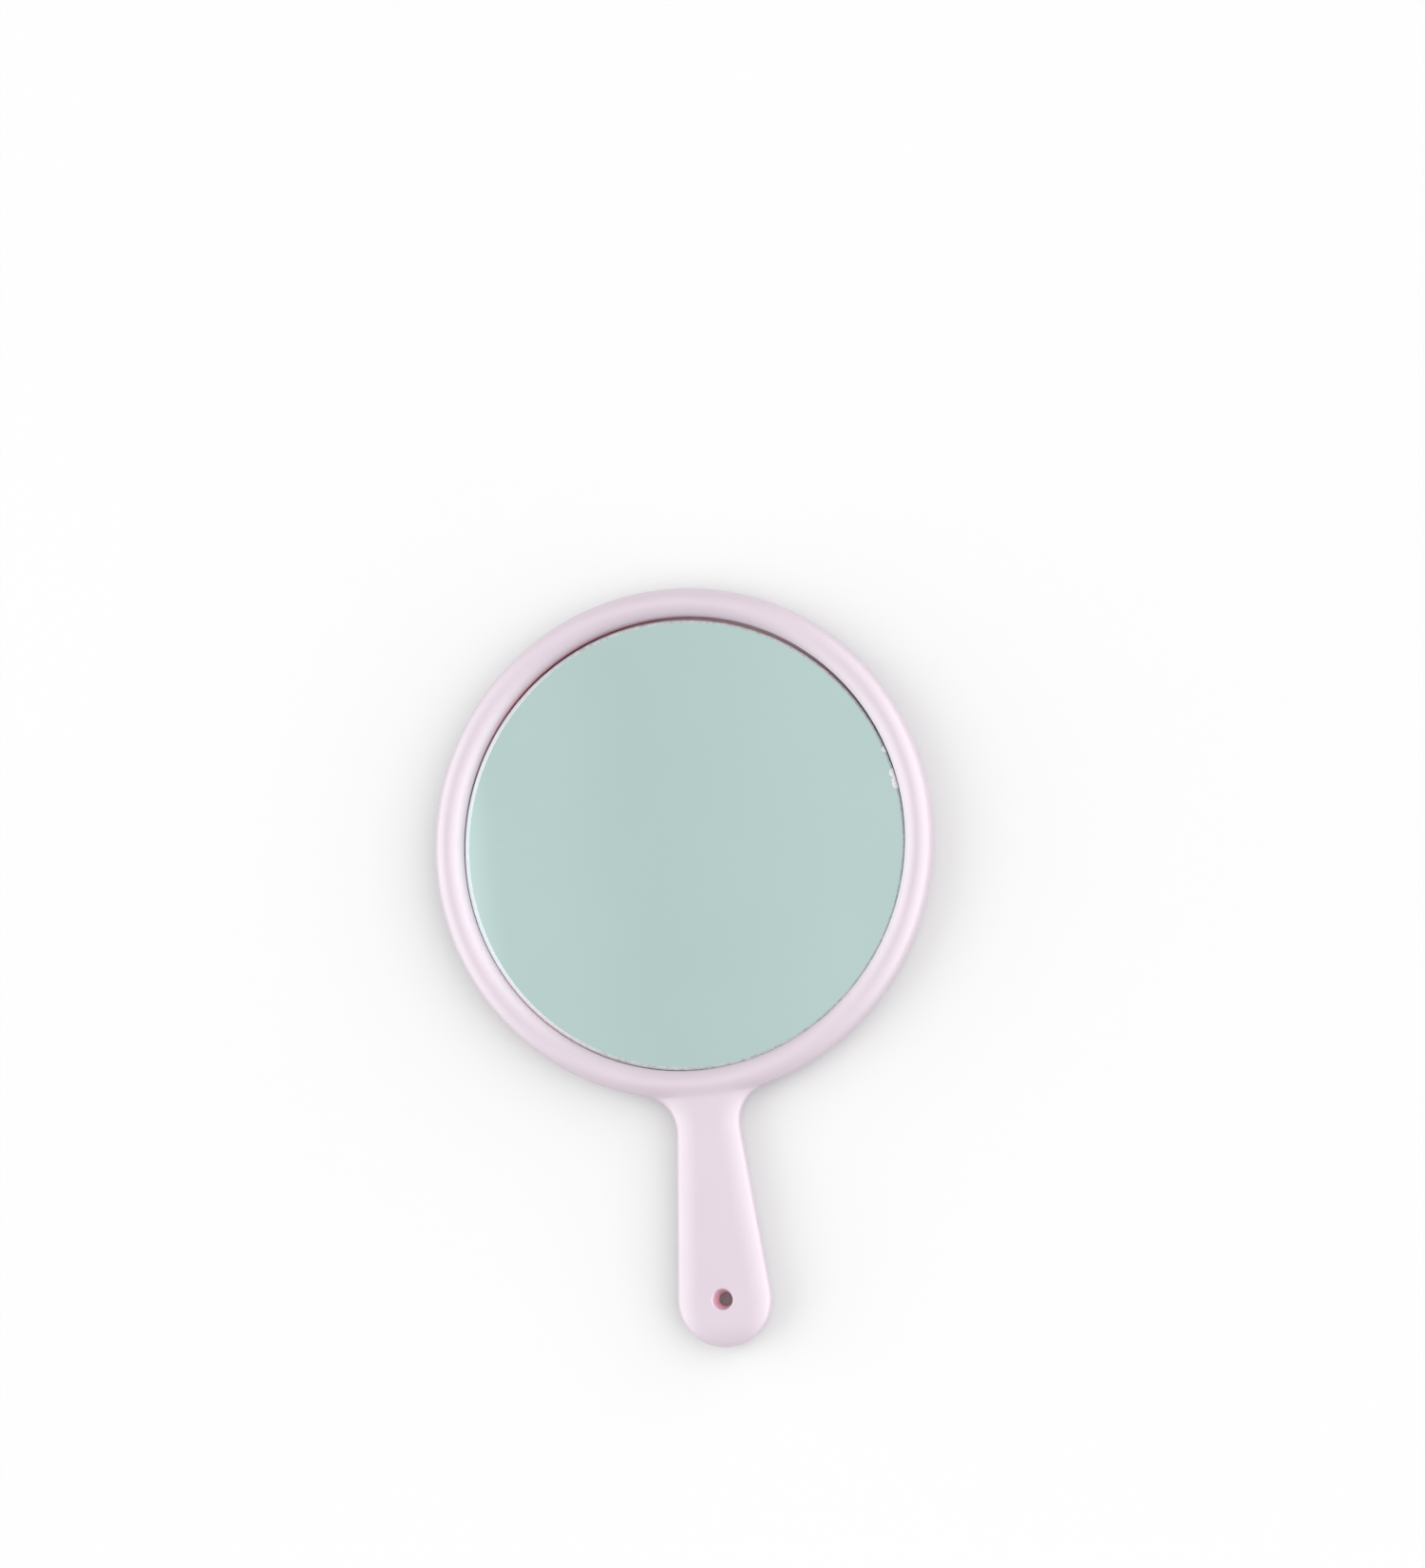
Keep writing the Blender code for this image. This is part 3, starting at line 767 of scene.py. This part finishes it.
def carve(target, operation, tool):
    """Applies a Boolean with a tool that is then thrown away."""
    modifier = target.modifiers.new("carve", "BOOLEAN")
    modifier.operation = operation
    modifier.solver = "EXACT"
    modifier.use_self = operation == "DIFFERENCE"
    modifier.object = tool
    weld = target.modifiers.new("weld", "WELD")
    weld.merge_threshold = WELDED
    settled(target)
    bpy.data.objects.remove(tool)


def hollow_out(shell, hollow, ribs):
    """Cuts a shell's hollow and leaves the ribs standing in it."""
    carve(hollow, "DIFFERENCE", ribs)
    carve(shell, "DIFFERENCE", hollow)


# ---------------------------------------------------------------- materials


class Paint(NodeMaker):
    """One material on a Principled shader. Constants are given by socket name."""

    def __init__(self, name, **constants):
        self.material = bpy.data.materials.new(name)
        self.material.use_nodes = True
        super().__init__(self.material.node_tree)
        self.shader = self.tree.nodes["Principled BSDF"]
        for label, value in constants.items():
            self.shader.inputs[label.replace("_", " ")].default_value = value
        self.place = Value(self, self.node("ShaderNodeTexCoord").outputs["Object"])

    def feed(self, name, value):
        self.put(self.shader.inputs[name], value)

    def noise(self, scale, detail=3.0, vector=None, roughness=0.5):
        """Noise from about 0.2 to 0.8; scale is in cycles a metre."""
        inputs = {
            "Vector": self.place if vector is None else vector,
            "Scale": scale,
            "Detail": detail,
            "Roughness": roughness,
        }
        return self.result("ShaderNodeTexNoise", inputs)

    def mix(self, share, first, second):
        """From the first colour to the second as share goes from 0 to 1."""
        made = self.node("ShaderNodeMix", {"data_type": "RGBA"})
        self.put(made.inputs[0], share)
        for socket, end in zip([s for s in made.inputs if s.type == "RGBA"], (first, second)):
            self.put(socket, end if isinstance(end, Value) else (*end, 1.0))
        return Value(self, [s for s in made.outputs if s.type == "RGBA"][0])

    def bump(self, height, distance, under=None):
        inputs = {"Height": height, "Distance": distance}
        if under is not None:
            inputs["Normal"] = under
        return self.result("ShaderNodeBump", inputs)

    def scratches(self, turns, pitch, length, width):
        """Fine straight scratches: noise stretched along each turn and cut to its peaks."""
        total = None
        for i, turn in enumerate(turns):
            scale = 1 / length, 1 / pitch, 1.0
            inputs = {"Vector": self.place, "Rotation": (0.0, 0.0, turn), "Scale": scale}
            across = self.result("ShaderNodeMapping", inputs)
            lines = self.noise(1.0, 1.0, across, 0.4).between(width, width + 0.05)
            patches = self.noise(18.0 + 7.0 * i, 1.0).between(0.5, 0.62)
            part = lines * patches
            total = part if total is None else total + part
        return total


def shade(pigment, factor):
    """A colour made darker or paler."""
    return tuple(min(channel * factor, 1.0) for channel in pigment)


def satin_plastic(colours, plan):
    """Pale pink moulded plastic: satin, with a fine grain and a little handling wear. Down in
    the pocket it is painted a deeper pink, a painted shade for light bounced round the hollow,
    and the hanging hole's wall is painted a brighter pink, a painted glow against its shade."""
    paint = Paint("pale_pink_satin", IOR=1.8, Specular_IOR_Level=1.0)
    cloud = paint.noise(28.0, 2.0).between(0.3, 0.7)
    base = paint.mix(cloud, shade(colours.plastic, 0.985), shade(colours.plastic, 1.015))
    x, y, z = paint.place.axes()
    radius = apart(x, y - plan.centre_y)
    floor = plan.sizes.back_wall
    lip = plan.front_base + plan.sizes.rim_inner_rise
    # Painted shade: the pocket's pink lies between its floor and its lip, and fades out towards
    # +X and -X, where the walls are lit
    inside = 1.0 - radius.between(plan.pocket_radius + 0.0002, plan.skirt_radius)
    painted_lighting = inside * z.between(floor / 2, floor) * (1.0 - z.between(lip - 0.0006, lip + 0.0004))
    base = paint.mix(painted_lighting * abs(y - plan.centre_y).between(0.020, 0.055), base, colours.pocket)
    # Painted glow: inside the hanging hole a brighter, pinker colour stands in for light on its
    # shaded wall
    hole = plan.sizes.hole_mouth
    from_hole = apart(x, y - (plan.centre_y + plan.hole.y))
    in_hole = 1.0 - from_hole.between(hole - 0.0002, hole + 0.0001)
    base = paint.mix(in_hole, base, shade(colours.pocket, 1.45))
    rubbed = paint.scratches((0.4, 1.9, 2.7), 0.0004, 0.012, 0.68)
    paint.feed("Base Color", paint.mix(rubbed * 0.10, base, shade(colours.plastic, 1.12)))
    smudge = paint.noise(60.0, 4.0).between(0.35, 0.75)
    paint.feed("Roughness", 0.40 + 0.04 * smudge + 0.06 * rubbed)
    grain = paint.bump(paint.noise(5200.0, 2.0), 0.000006)
    paint.feed("Normal", paint.bump(paint.noise(85.0, 2.0), 0.000035, grain))
    return paint.material


def silvered_glass(colours):
    """The silvered face: clear float glass over silver, with faint smears and hairlines. Its teal
    colour is partly the glass's own green and partly a painted reflection of teal surroundings.
    """
    paint = Paint("silvered_face", Metallic=1.0, IOR=1.52)
    smear = paint.noise(34.0, 5.0).between(0.42, 0.80)
    hair = paint.scratches((0.25, 1.15, 2.1), 0.00035, 0.016, 0.70)
    tint = paint.mix(smear, colours.silver, shade(colours.silver, 1.012))
    paint.feed("Base Color", paint.mix(hair * 0.05, tint, (0.86, 0.92, 0.92)))
    paint.feed("Roughness", 0.012 + 0.010 * smear + 0.05 * hair)
    return paint.material


def ground_edge(colours, chips):
    """The glass's ground edge: frosted, white where chipped. Painted light makes it paler towards
    -X, where it catches the light, and a painted shade makes it darker elsewhere.
    """
    paint = Paint("ground_glass_edge", IOR=1.52, Specular_IOR_Level=0.7)
    frost = paint.noise(700.0, 2.0).between(0.3, 0.7)
    x, y, _ = paint.place.axes()
    broken = 0.0
    for spot, reach in chips:
        away = apart(x - spot.x, y - spot.y)
        broken = (1.0 - away.between(reach * 0.7, reach)) + broken
    # Painted light and shade: full colour towards -X, where the edge is lit, darker elsewhere
    painted_lighting = 1.0 - x.between(-0.070, -0.020)
    ground = paint.mix(painted_lighting, shade(colours.ground_edge, 0.55), colours.ground_edge)
    ground = paint.mix(frost * 0.5, ground, shade(colours.ground_edge, 0.9))
    paint.feed("Base Color", paint.mix(broken, ground, colours.chip))
    paint.feed("Roughness", 0.26 + 0.12 * frost + 0.3 * broken)
    paint.feed("Normal", paint.bump(paint.noise(1500.0, 2.0), 0.000006))
    return paint.material


def backing_paint(colours):
    """Dull grey paint over the back of the silver."""
    paint = Paint("mirror_backing_paint", Roughness=0.55)
    cloud = paint.noise(120.0, 3.0).between(0.3, 0.7)
    paint.feed("Base Color", paint.mix(cloud, shade(colours.backing, 0.9), colours.backing))
    paint.feed("Normal", paint.bump(paint.noise(1500.0, 2.0), 0.00001))
    return paint.material


def foam(colours):
    """Closed-cell foam tape: fine open cells on its cut sides."""
    paint = Paint("foam_tape", Roughness=0.9)
    inputs = {"Vector": paint.place, "Scale": 3200.0}
    cells = Value(paint, paint.node("ShaderNodeTexVoronoi", None, inputs).outputs["Distance"])
    pores = cells.between(0.15, 0.55)
    # Painted shade: the cells are darker where the bump dips into them
    paint.feed("Base Color", paint.mix(pores, shade(colours.foam, 0.72), colours.foam))
    paint.feed("Normal", paint.bump(pores, 0.00012))
    return paint.material


def studio_floor(colours):
    """Pale matt floor, very slightly cloudy."""
    paint = Paint("studio_floor", Roughness=0.65, Specular_IOR_Level=0.2)
    cloud = paint.noise(3.0, 2.0).between(0.3, 0.7)
    paint.feed("Base Color", paint.mix(cloud, shade(colours.floor, 0.995), colours.floor))
    return paint.material


# ---------------------------------------------------------------- pieces


def front_block(plan):
    """The front shell before it is hollowed: rim, handle face, pocket wall and tongue."""
    sizes, skin = plan.sizes, Skin(plan)
    crest, width = sizes.crest_inset, sizes.rim_width
    shoulder = math.asin((plan.land_inset - crest) / (width - crest))
    steps = EDGE_STEPS * plan.detail
    edge = sizes.seam_round
    insets = rolled(0.0, crest, plan.roll_steps)
    turns = [shoulder * i / steps for i in range(1, steps + 1)]
    insets += [crest + (width - crest) * math.sin(turn) for turn in turns]

    def height(point, inset):
        lift = max(plan.front_height(point, inset, 0.0, plan.land_inset), edge)
        return plan.front_base + lift

    skin.patch(insets, height, plan.last_rung)
    face = plan.front_base + sizes.handle_rise
    foot = skin.funnel(plan.land_inset, face, -1, plan.tongue_foot)
    turns = [shoulder + (math.pi / 2 - shoulder) * i / steps for i in range(steps + 1)]
    lip = [crest + (width - crest) * math.sin(turn) for turn in turns]
    lip_rows = [
        plan.lifted(plan.circle(i), plan.front_base + plan.rim_height(sizes.head_radius - i, 0.0))
        for i in lip
    ]
    thin = plan.core_inset + SKIRT_STEP
    lip_rows.append(plan.lifted(plan.circle(width), plan.skirt_foot))
    lip_rows.append(plan.lifted(plan.circle(thin), plan.skirt_foot))
    lip_rows.append(plan.lifted(plan.circle(thin), plan.tongue_foot))
    skin.strips(lip_rows)
    rows = [
        plan.lifted(plan.inset(inset), level)
        for inset, level in (
            (0.0, plan.front_base + edge),
            (edge * MID_ROUND, plan.front_base + edge * MID_ROUND),
            (edge, plan.front_base),
            (plan.tongue_inset, plan.front_base),
            (plan.tongue_inset, plan.tongue_foot),
        )
    ]
    skin.strips(rows)
    skin.plate(rows[-1], foot, lip_rows[-1])
    return skin.finish("front_shell_moulding")


def front_hollow(plan):
    """What the front mould's core fills, before the stiffeners are left out of it."""
    sizes, skin = plan.sizes, Skin(plan)
    wall, inner = sizes.wall, plan.core_inset
    foot = plan.tongue_foot - CLEAR
    insets = rolled(wall, sizes.crest_inset, plan.roll_steps // 2)
    insets += [(sizes.crest_inset + inner) / 2, inner]
    skin.patch(insets, lambda p, i: plan.parting + plan.front_height(p, i, wall, inner))
    ceiling = plan.parting + plan.rim_height(plan.skirt_radius, wall)
    inside = [plan.lifted(plan.circle(inner), z) for z in (ceiling, foot)]
    outside = [plan.lifted(plan.inset(wall), z) for z in (plan.parting, foot)]
    skin.strips(inside)
    skin.strips(outside)
    skin.annulus(outside[-1], inside[-1])
    return skin.finish("front_hollow")


def rear_block(plan):
    """The rear shell before it is hollowed: flat back, rolled edge and the lip round the tongue."""
    sizes, skin = plan.sizes, Skin(plan)
    roll, edge = sizes.back_roll, sizes.seam_round
    insets = [roll, *(roll + row for row in BACK_ROWS)]
    inset = insets[-1]
    skin.patch(insets, lambda p, i: REAR_LOW.z, plan.last_rung)
    skin.cap(plan.lifted(plan.circle(inset), REAR_LOW.z))
    foot = skin.funnel(inset, REAR_LOW.z, 1, plan.ledge)
    rows = plan.rear_roll(0.0, REAR_LOW.z, plan.rear_top - edge)
    lip = plan.tongue_inset - plan.fit
    for inset, level in (
        (edge * MID_ROUND, plan.rear_top - edge * MID_ROUND),
        (edge, plan.rear_top),
        (lip, plan.rear_top),
        (lip, plan.ledge),
    ):
        rows.append(plan.lifted(plan.inset(inset), level))
    skin.strips(rows)
    skin.plate(rows[-1], foot)
    return skin.finish("rear_shell_moulding")


def rear_hollow(plan):
    """What the rear mould's core fills, the glass's pocket included."""
    sizes, skin = plan.sizes, Skin(plan)
    rows = plan.rear_roll(sizes.wall, REAR_LOW.z + sizes.back_wall, plan.ledge - plan.fit)
    rows.append(plan.lifted(plan.inset(sizes.wall), plan.parting + CLEAR))
    skin.strips(rows)
    skin.cap(rows[0])
    skin.cap(rows[-1])
    return skin.finish("rear_hollow")


def done(piece, node, crease, finishes):
    """Paints and shades a finished piece, and puts it in the place of its solid."""
    piece.data.materials.clear()
    for finish in finishes:
        piece.data.materials.append(finish)
    piece.data.shade_smooth()
    piece.data.set_sharp_from_angle(angle=math.radians(crease))
    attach(piece, BODY)
    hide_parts(node)


def shell_plastic(context, plan):
    """Both shells' material, made once."""
    found = bpy.data.materials.get("pale_pink_satin")
    return found or satin_plastic(context.scene.mirror_colours, plan)


class MIRROR_OT_front_shell(bpy.types.Operator):
    """Front shell: the rim round the glass and the handle's front half."""

    bl_idname = "mirror.front_shell"
    bl_label = "Front shell"

    def execute(self, context):
        sizes = context.scene.mirror_sizes
        plan, coarse = Plan(sizes, sizes.detail), Plan(sizes, 1)
        plastic = shell_plastic(context, plan)
        shell = front_block(plan)
        ribs = stiffeners(coarse, "front_stiffeners", plan.pocket_radius, plastic)
        hollow_out(shell, front_hollow(coarse), ribs)
        sockets = pegs(
            coarse,
            "peg_sockets",
            sizes.peg_radius + plan.fit,
            plan.tongue_foot - CLEAR,
            plan.ledge + sizes.peg_rise + plan.fit,
            plastic,
        )
        carve(shell, "DIFFERENCE", sockets)
        done(shell, "front_shell", SHELL_CREASE, [plastic])
        return {"FINISHED"}


class MIRROR_OT_rear_shell(bpy.types.Operator):
    """Rear shell: the flat back and the handle's rear half."""

    bl_idname = "mirror.rear_shell"
    bl_label = "Rear shell"

    def execute(self, context):
        sizes = context.scene.mirror_sizes
        plan, coarse = Plan(sizes, sizes.detail), Plan(sizes, 1)
        plastic = shell_plastic(context, plan)
        shell = rear_block(plan)
        ribs = stiffeners(coarse, "rear_stiffeners", plan.skirt_radius + plan.fit, plastic)
        hollow_out(shell, rear_hollow(coarse), ribs)
        ends = plan.ledge - CLEAR, plan.ledge + sizes.peg_rise
        carve(shell, "UNION", pegs(coarse, "pegs", sizes.peg_radius, *ends, plastic))
        done(shell, "rear_shell", SHELL_CREASE, [plastic])
        return {"FINISHED"}


class MIRROR_OT_glass(bpy.types.Operator):
    """Mirror glass: a round silvered glass with a ground edge and three small chips."""

    bl_idname = "mirror.glass"
    bl_label = "Mirror glass"

    def execute(self, context):
        sizes, colours = context.scene.mirror_sizes, context.scene.mirror_colours
        plan = Plan(sizes, 1)
        radius = plan.pocket_radius - sizes.glass_gap
        thickness = GLASS_HIGH.z - GLASS_LOW.z
        inputs = {
            "Radius": radius,
            "Thickness": thickness,
            "Arris width": sizes.arris,
            "Arris depth": sizes.arris_depth,
            "Arris lean": sizes.arris_lean,
        }
        chips = []
        for i, (turn, share) in enumerate(CHIPS):
            turn = sizes.chip_turn + math.radians(turn)
            spot = radius * math.cos(turn), radius * math.sin(turn), thickness / 2
            chips.append((spot, sizes.chip_reach * share))
            inputs[f"Chip {i} place"], inputs[f"Chip {i} reach"] = chips[-1]
        rule = Rule("silvered_glass_disc", inputs)
        given = rule.given
        whole, depth = given["Radius"], given["Arris depth"]
        inputs = {"Vertices": GLASS_STEPS, "Side Segments": GLASS_SIDE_STEPS}
        inputs |= {"Radius": whole, "Depth": given["Thickness"]}
        disc = rule.result("GeometryNodeMeshCylinder", inputs)
        place = rule.result("GeometryNodeInputPosition")
        x, y, z = place.axes()
        half = given["Thickness"] * 0.5
        drop = ((abs(z) - (half - depth)) / depth).at_least(0.0)
        uneven = 1.0 - x / whole * given["Arris lean"]
        cut = drop**ARRIS_ROUND * (given["Arris width"] * uneven)
        noise = {"Vector": place, "Scale": CHIP_GRAIN, "Detail": 2.0}
        ragged = rule.result("ShaderNodeTexNoise", noise)
        upper = (z / half).at_least(0.0)
        for i in range(len(CHIPS)):
            reach = given[f"Chip {i} reach"]
            ends = {0: place, 1: given[f"Chip {i} place"]}
            away = rule.node("ShaderNodeVectorMath", {"operation": "DISTANCE"}, ends)
            near = (1.0 - Value(rule, away.outputs["Value"]) / reach).at_least(0.0).root()
            cut = cut + near * (reach * ragged * upper)
        share = 1.0 - cut / whole
        moved = {"Geometry": disc, "Position": rule.vector(x * share, y * share, z)}
        across, along = sizes.glass_shift
        centre = Vector((across, plan.centre_y + along, (GLASS_LOW.z + GLASS_HIGH.z) / 2))
        frosted = ground_edge(colours, [(centre + Vector(spot), reach) for spot, reach in chips])
        glass = rule.built([rule.result("GeometryNodeSetPosition", moved)], frosted, centre)
        finishes = [frosted, silvered_glass(colours), backing_paint(colours)]
        done(glass, "mirror_glass", GLASS_CREASE, finishes)
        for face in glass.data.polygons:
            flat = abs(face.normal.z) > LEVEL
            face.material_index = 0 if not flat else 1 if face.normal.z > 0 else 2
            face.use_smooth = not flat
        return {"FINISHED"}


class MIRROR_OT_foam_tape(bpy.types.Operator):
    """Foam tape: the strips that hold the glass, with their foam finish."""

    bl_idname = "mirror.foam_tape"
    bl_label = "Foam tape"

    def execute(self, context):
        finish = foam(context.scene.mirror_colours)
        strips = [node for name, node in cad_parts.items() if name.startswith("foam_tape")]
        if not strips:
            raise RuntimeError("the solid model holds no foam tape")
        for strip in strips:
            for slot in strip.material_slots:
                slot.material = finish
        return {"FINISHED"}


class MIRROR_OT_studio(bpy.types.Operator):
    """Studio: pale floor, the light of the room round it, and camera."""

    bl_idname = "mirror.studio"
    bl_label = "Studio"

    def execute(self, context):
        scene = context.scene
        studio, colours = scene.studio_settings, scene.mirror_colours
        plan = Plan(scene.mirror_sizes, 1)
        mesh = bmesh.new()
        bmesh.ops.create_circle(mesh, cap_ends=True, radius=FLOOR_RADIUS, segments=FLOOR_STEPS)
        data = bpy.data.meshes.new("floor")
        mesh.to_mesh(data)
        mesh.free()
        data.materials.append(studio_floor(colours))
        floor = link(bpy.data.objects.new("floor", data))

        aim = Vector((studio.aim[0], studio.aim[1] + plan.centre_y, plan.parting))
        lean, turn = studio.camera_lean, studio.camera_turn
        flat = math.sin(lean)
        back = Vector((flat * math.cos(turn), flat * math.sin(turn), math.cos(lean)))
        up = (Vector((0.0, 1.0, 0.0)) - back * back.y).normalized()
        right = up.cross(back)
        roll = Matrix.Rotation(studio.camera_roll, 3, back)
        basis = Matrix((roll @ right, roll @ up, back)).transposed().to_4x4()
        camera = link(bpy.data.objects.new("camera", bpy.data.cameras.new("camera")))
        camera.matrix_world = Matrix.Translation(aim + back * studio.camera_distance) @ basis
        camera.data.sensor_fit = "HORIZONTAL"
        camera.data.sensor_width = SENSOR_WIDTH
        camera.data.lens = studio.camera_lens
        scene.camera = camera

        world = bpy.data.worlds.new("room")
        world.use_nodes = True
        room = NodeMaker(world.node_tree)
        sky = world.node_tree.nodes["Background"]
        place = Value(room, room.node("ShaderNodeTexCoord").outputs["Generated"])
        across, along, _ = place.axes()
        # Overhead, a dimmer band lies across X, with a bright part of the room past it at -X
        glow = 0.05 * across.between(-0.232, -0.180) + 0.04 * (1.0 - across.between(-0.255, -0.232))
        glow = glow + 0.35 * (1.0 - across.between(-0.276, -0.262))
        # The walls stand round the direction that the level glass mirrors into the camera:
        # bright to the left and right, and dim at the near and far ends
        aside, ahead = across + back.x, along + back.y
        away = apart(aside, ahead)
        side = (abs(aside) / away).between(0.52, 0.88)
        lit = studio.sides * (0.5 + 0.5 * away) * (1.2 - 0.3 * aside.between(-0.2, 0.2))
        wall = studio.ends + (lit - studio.ends) * side
        overhead = studio.zenith * (1.0 + glow)
        level = overhead + (wall - overhead) * away.between(0.09, 0.24)
        room.put(sky.inputs["Strength"], level)
        sky.inputs["Color"].default_value = (1.0, 1.0, 1.0, 1.0)
        scene.world = world
        scene.view_settings.view_transform = "Standard"
        return {"FINISHED"}


OPERATORS = (
    MIRROR_OT_front_shell,
    MIRROR_OT_rear_shell,
    MIRROR_OT_glass,
    MIRROR_OT_foam_tape,
    MIRROR_OT_studio,
)


class MIRROR_PT_sidebar(bpy.types.Panel):
    """Lists the settings and one button for each piece."""

    bl_idname = "MIRROR_PT_sidebar"
    bl_label = "Hand Mirror"
    bl_space_type = "VIEW_3D"
    bl_region_type = "UI"
    bl_category = "Hand Mirror"

    def draw(self, context):
        scene = context.scene
        for group in (scene.mirror_sizes, scene.mirror_colours, scene.studio_settings):
            box = self.layout.box()
            for name in group.__annotations__:
                box.prop(group, name)
        for operator in OPERATORS:
            self.layout.operator(operator.bl_idname)


GROUPS = {
    "mirror_sizes": MirrorSizes,
    "mirror_colours": MirrorColours,
    "studio_settings": StudioSettings,
}


def register():
    for cls in (*GROUPS.values(), *OPERATORS, MIRROR_PT_sidebar):
        bpy.utils.register_class(cls)
    for name, cls in GROUPS.items():
        setattr(bpy.types.Scene, name, PointerProperty(type=cls))


def unregister():
    for name in GROUPS:
        delattr(bpy.types.Scene, name)
    for cls in (MIRROR_PT_sidebar, *reversed(OPERATORS), *reversed(GROUPS.values())):
        bpy.utils.unregister_class(cls)


def main():
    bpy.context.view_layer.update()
    register()
    bpy.ops.mirror.front_shell()
    bpy.ops.mirror.rear_shell()
    bpy.ops.mirror.glass()
    bpy.ops.mirror.foam_tape()
    bpy.ops.mirror.studio()


if __name__ == "__main__":
    main()
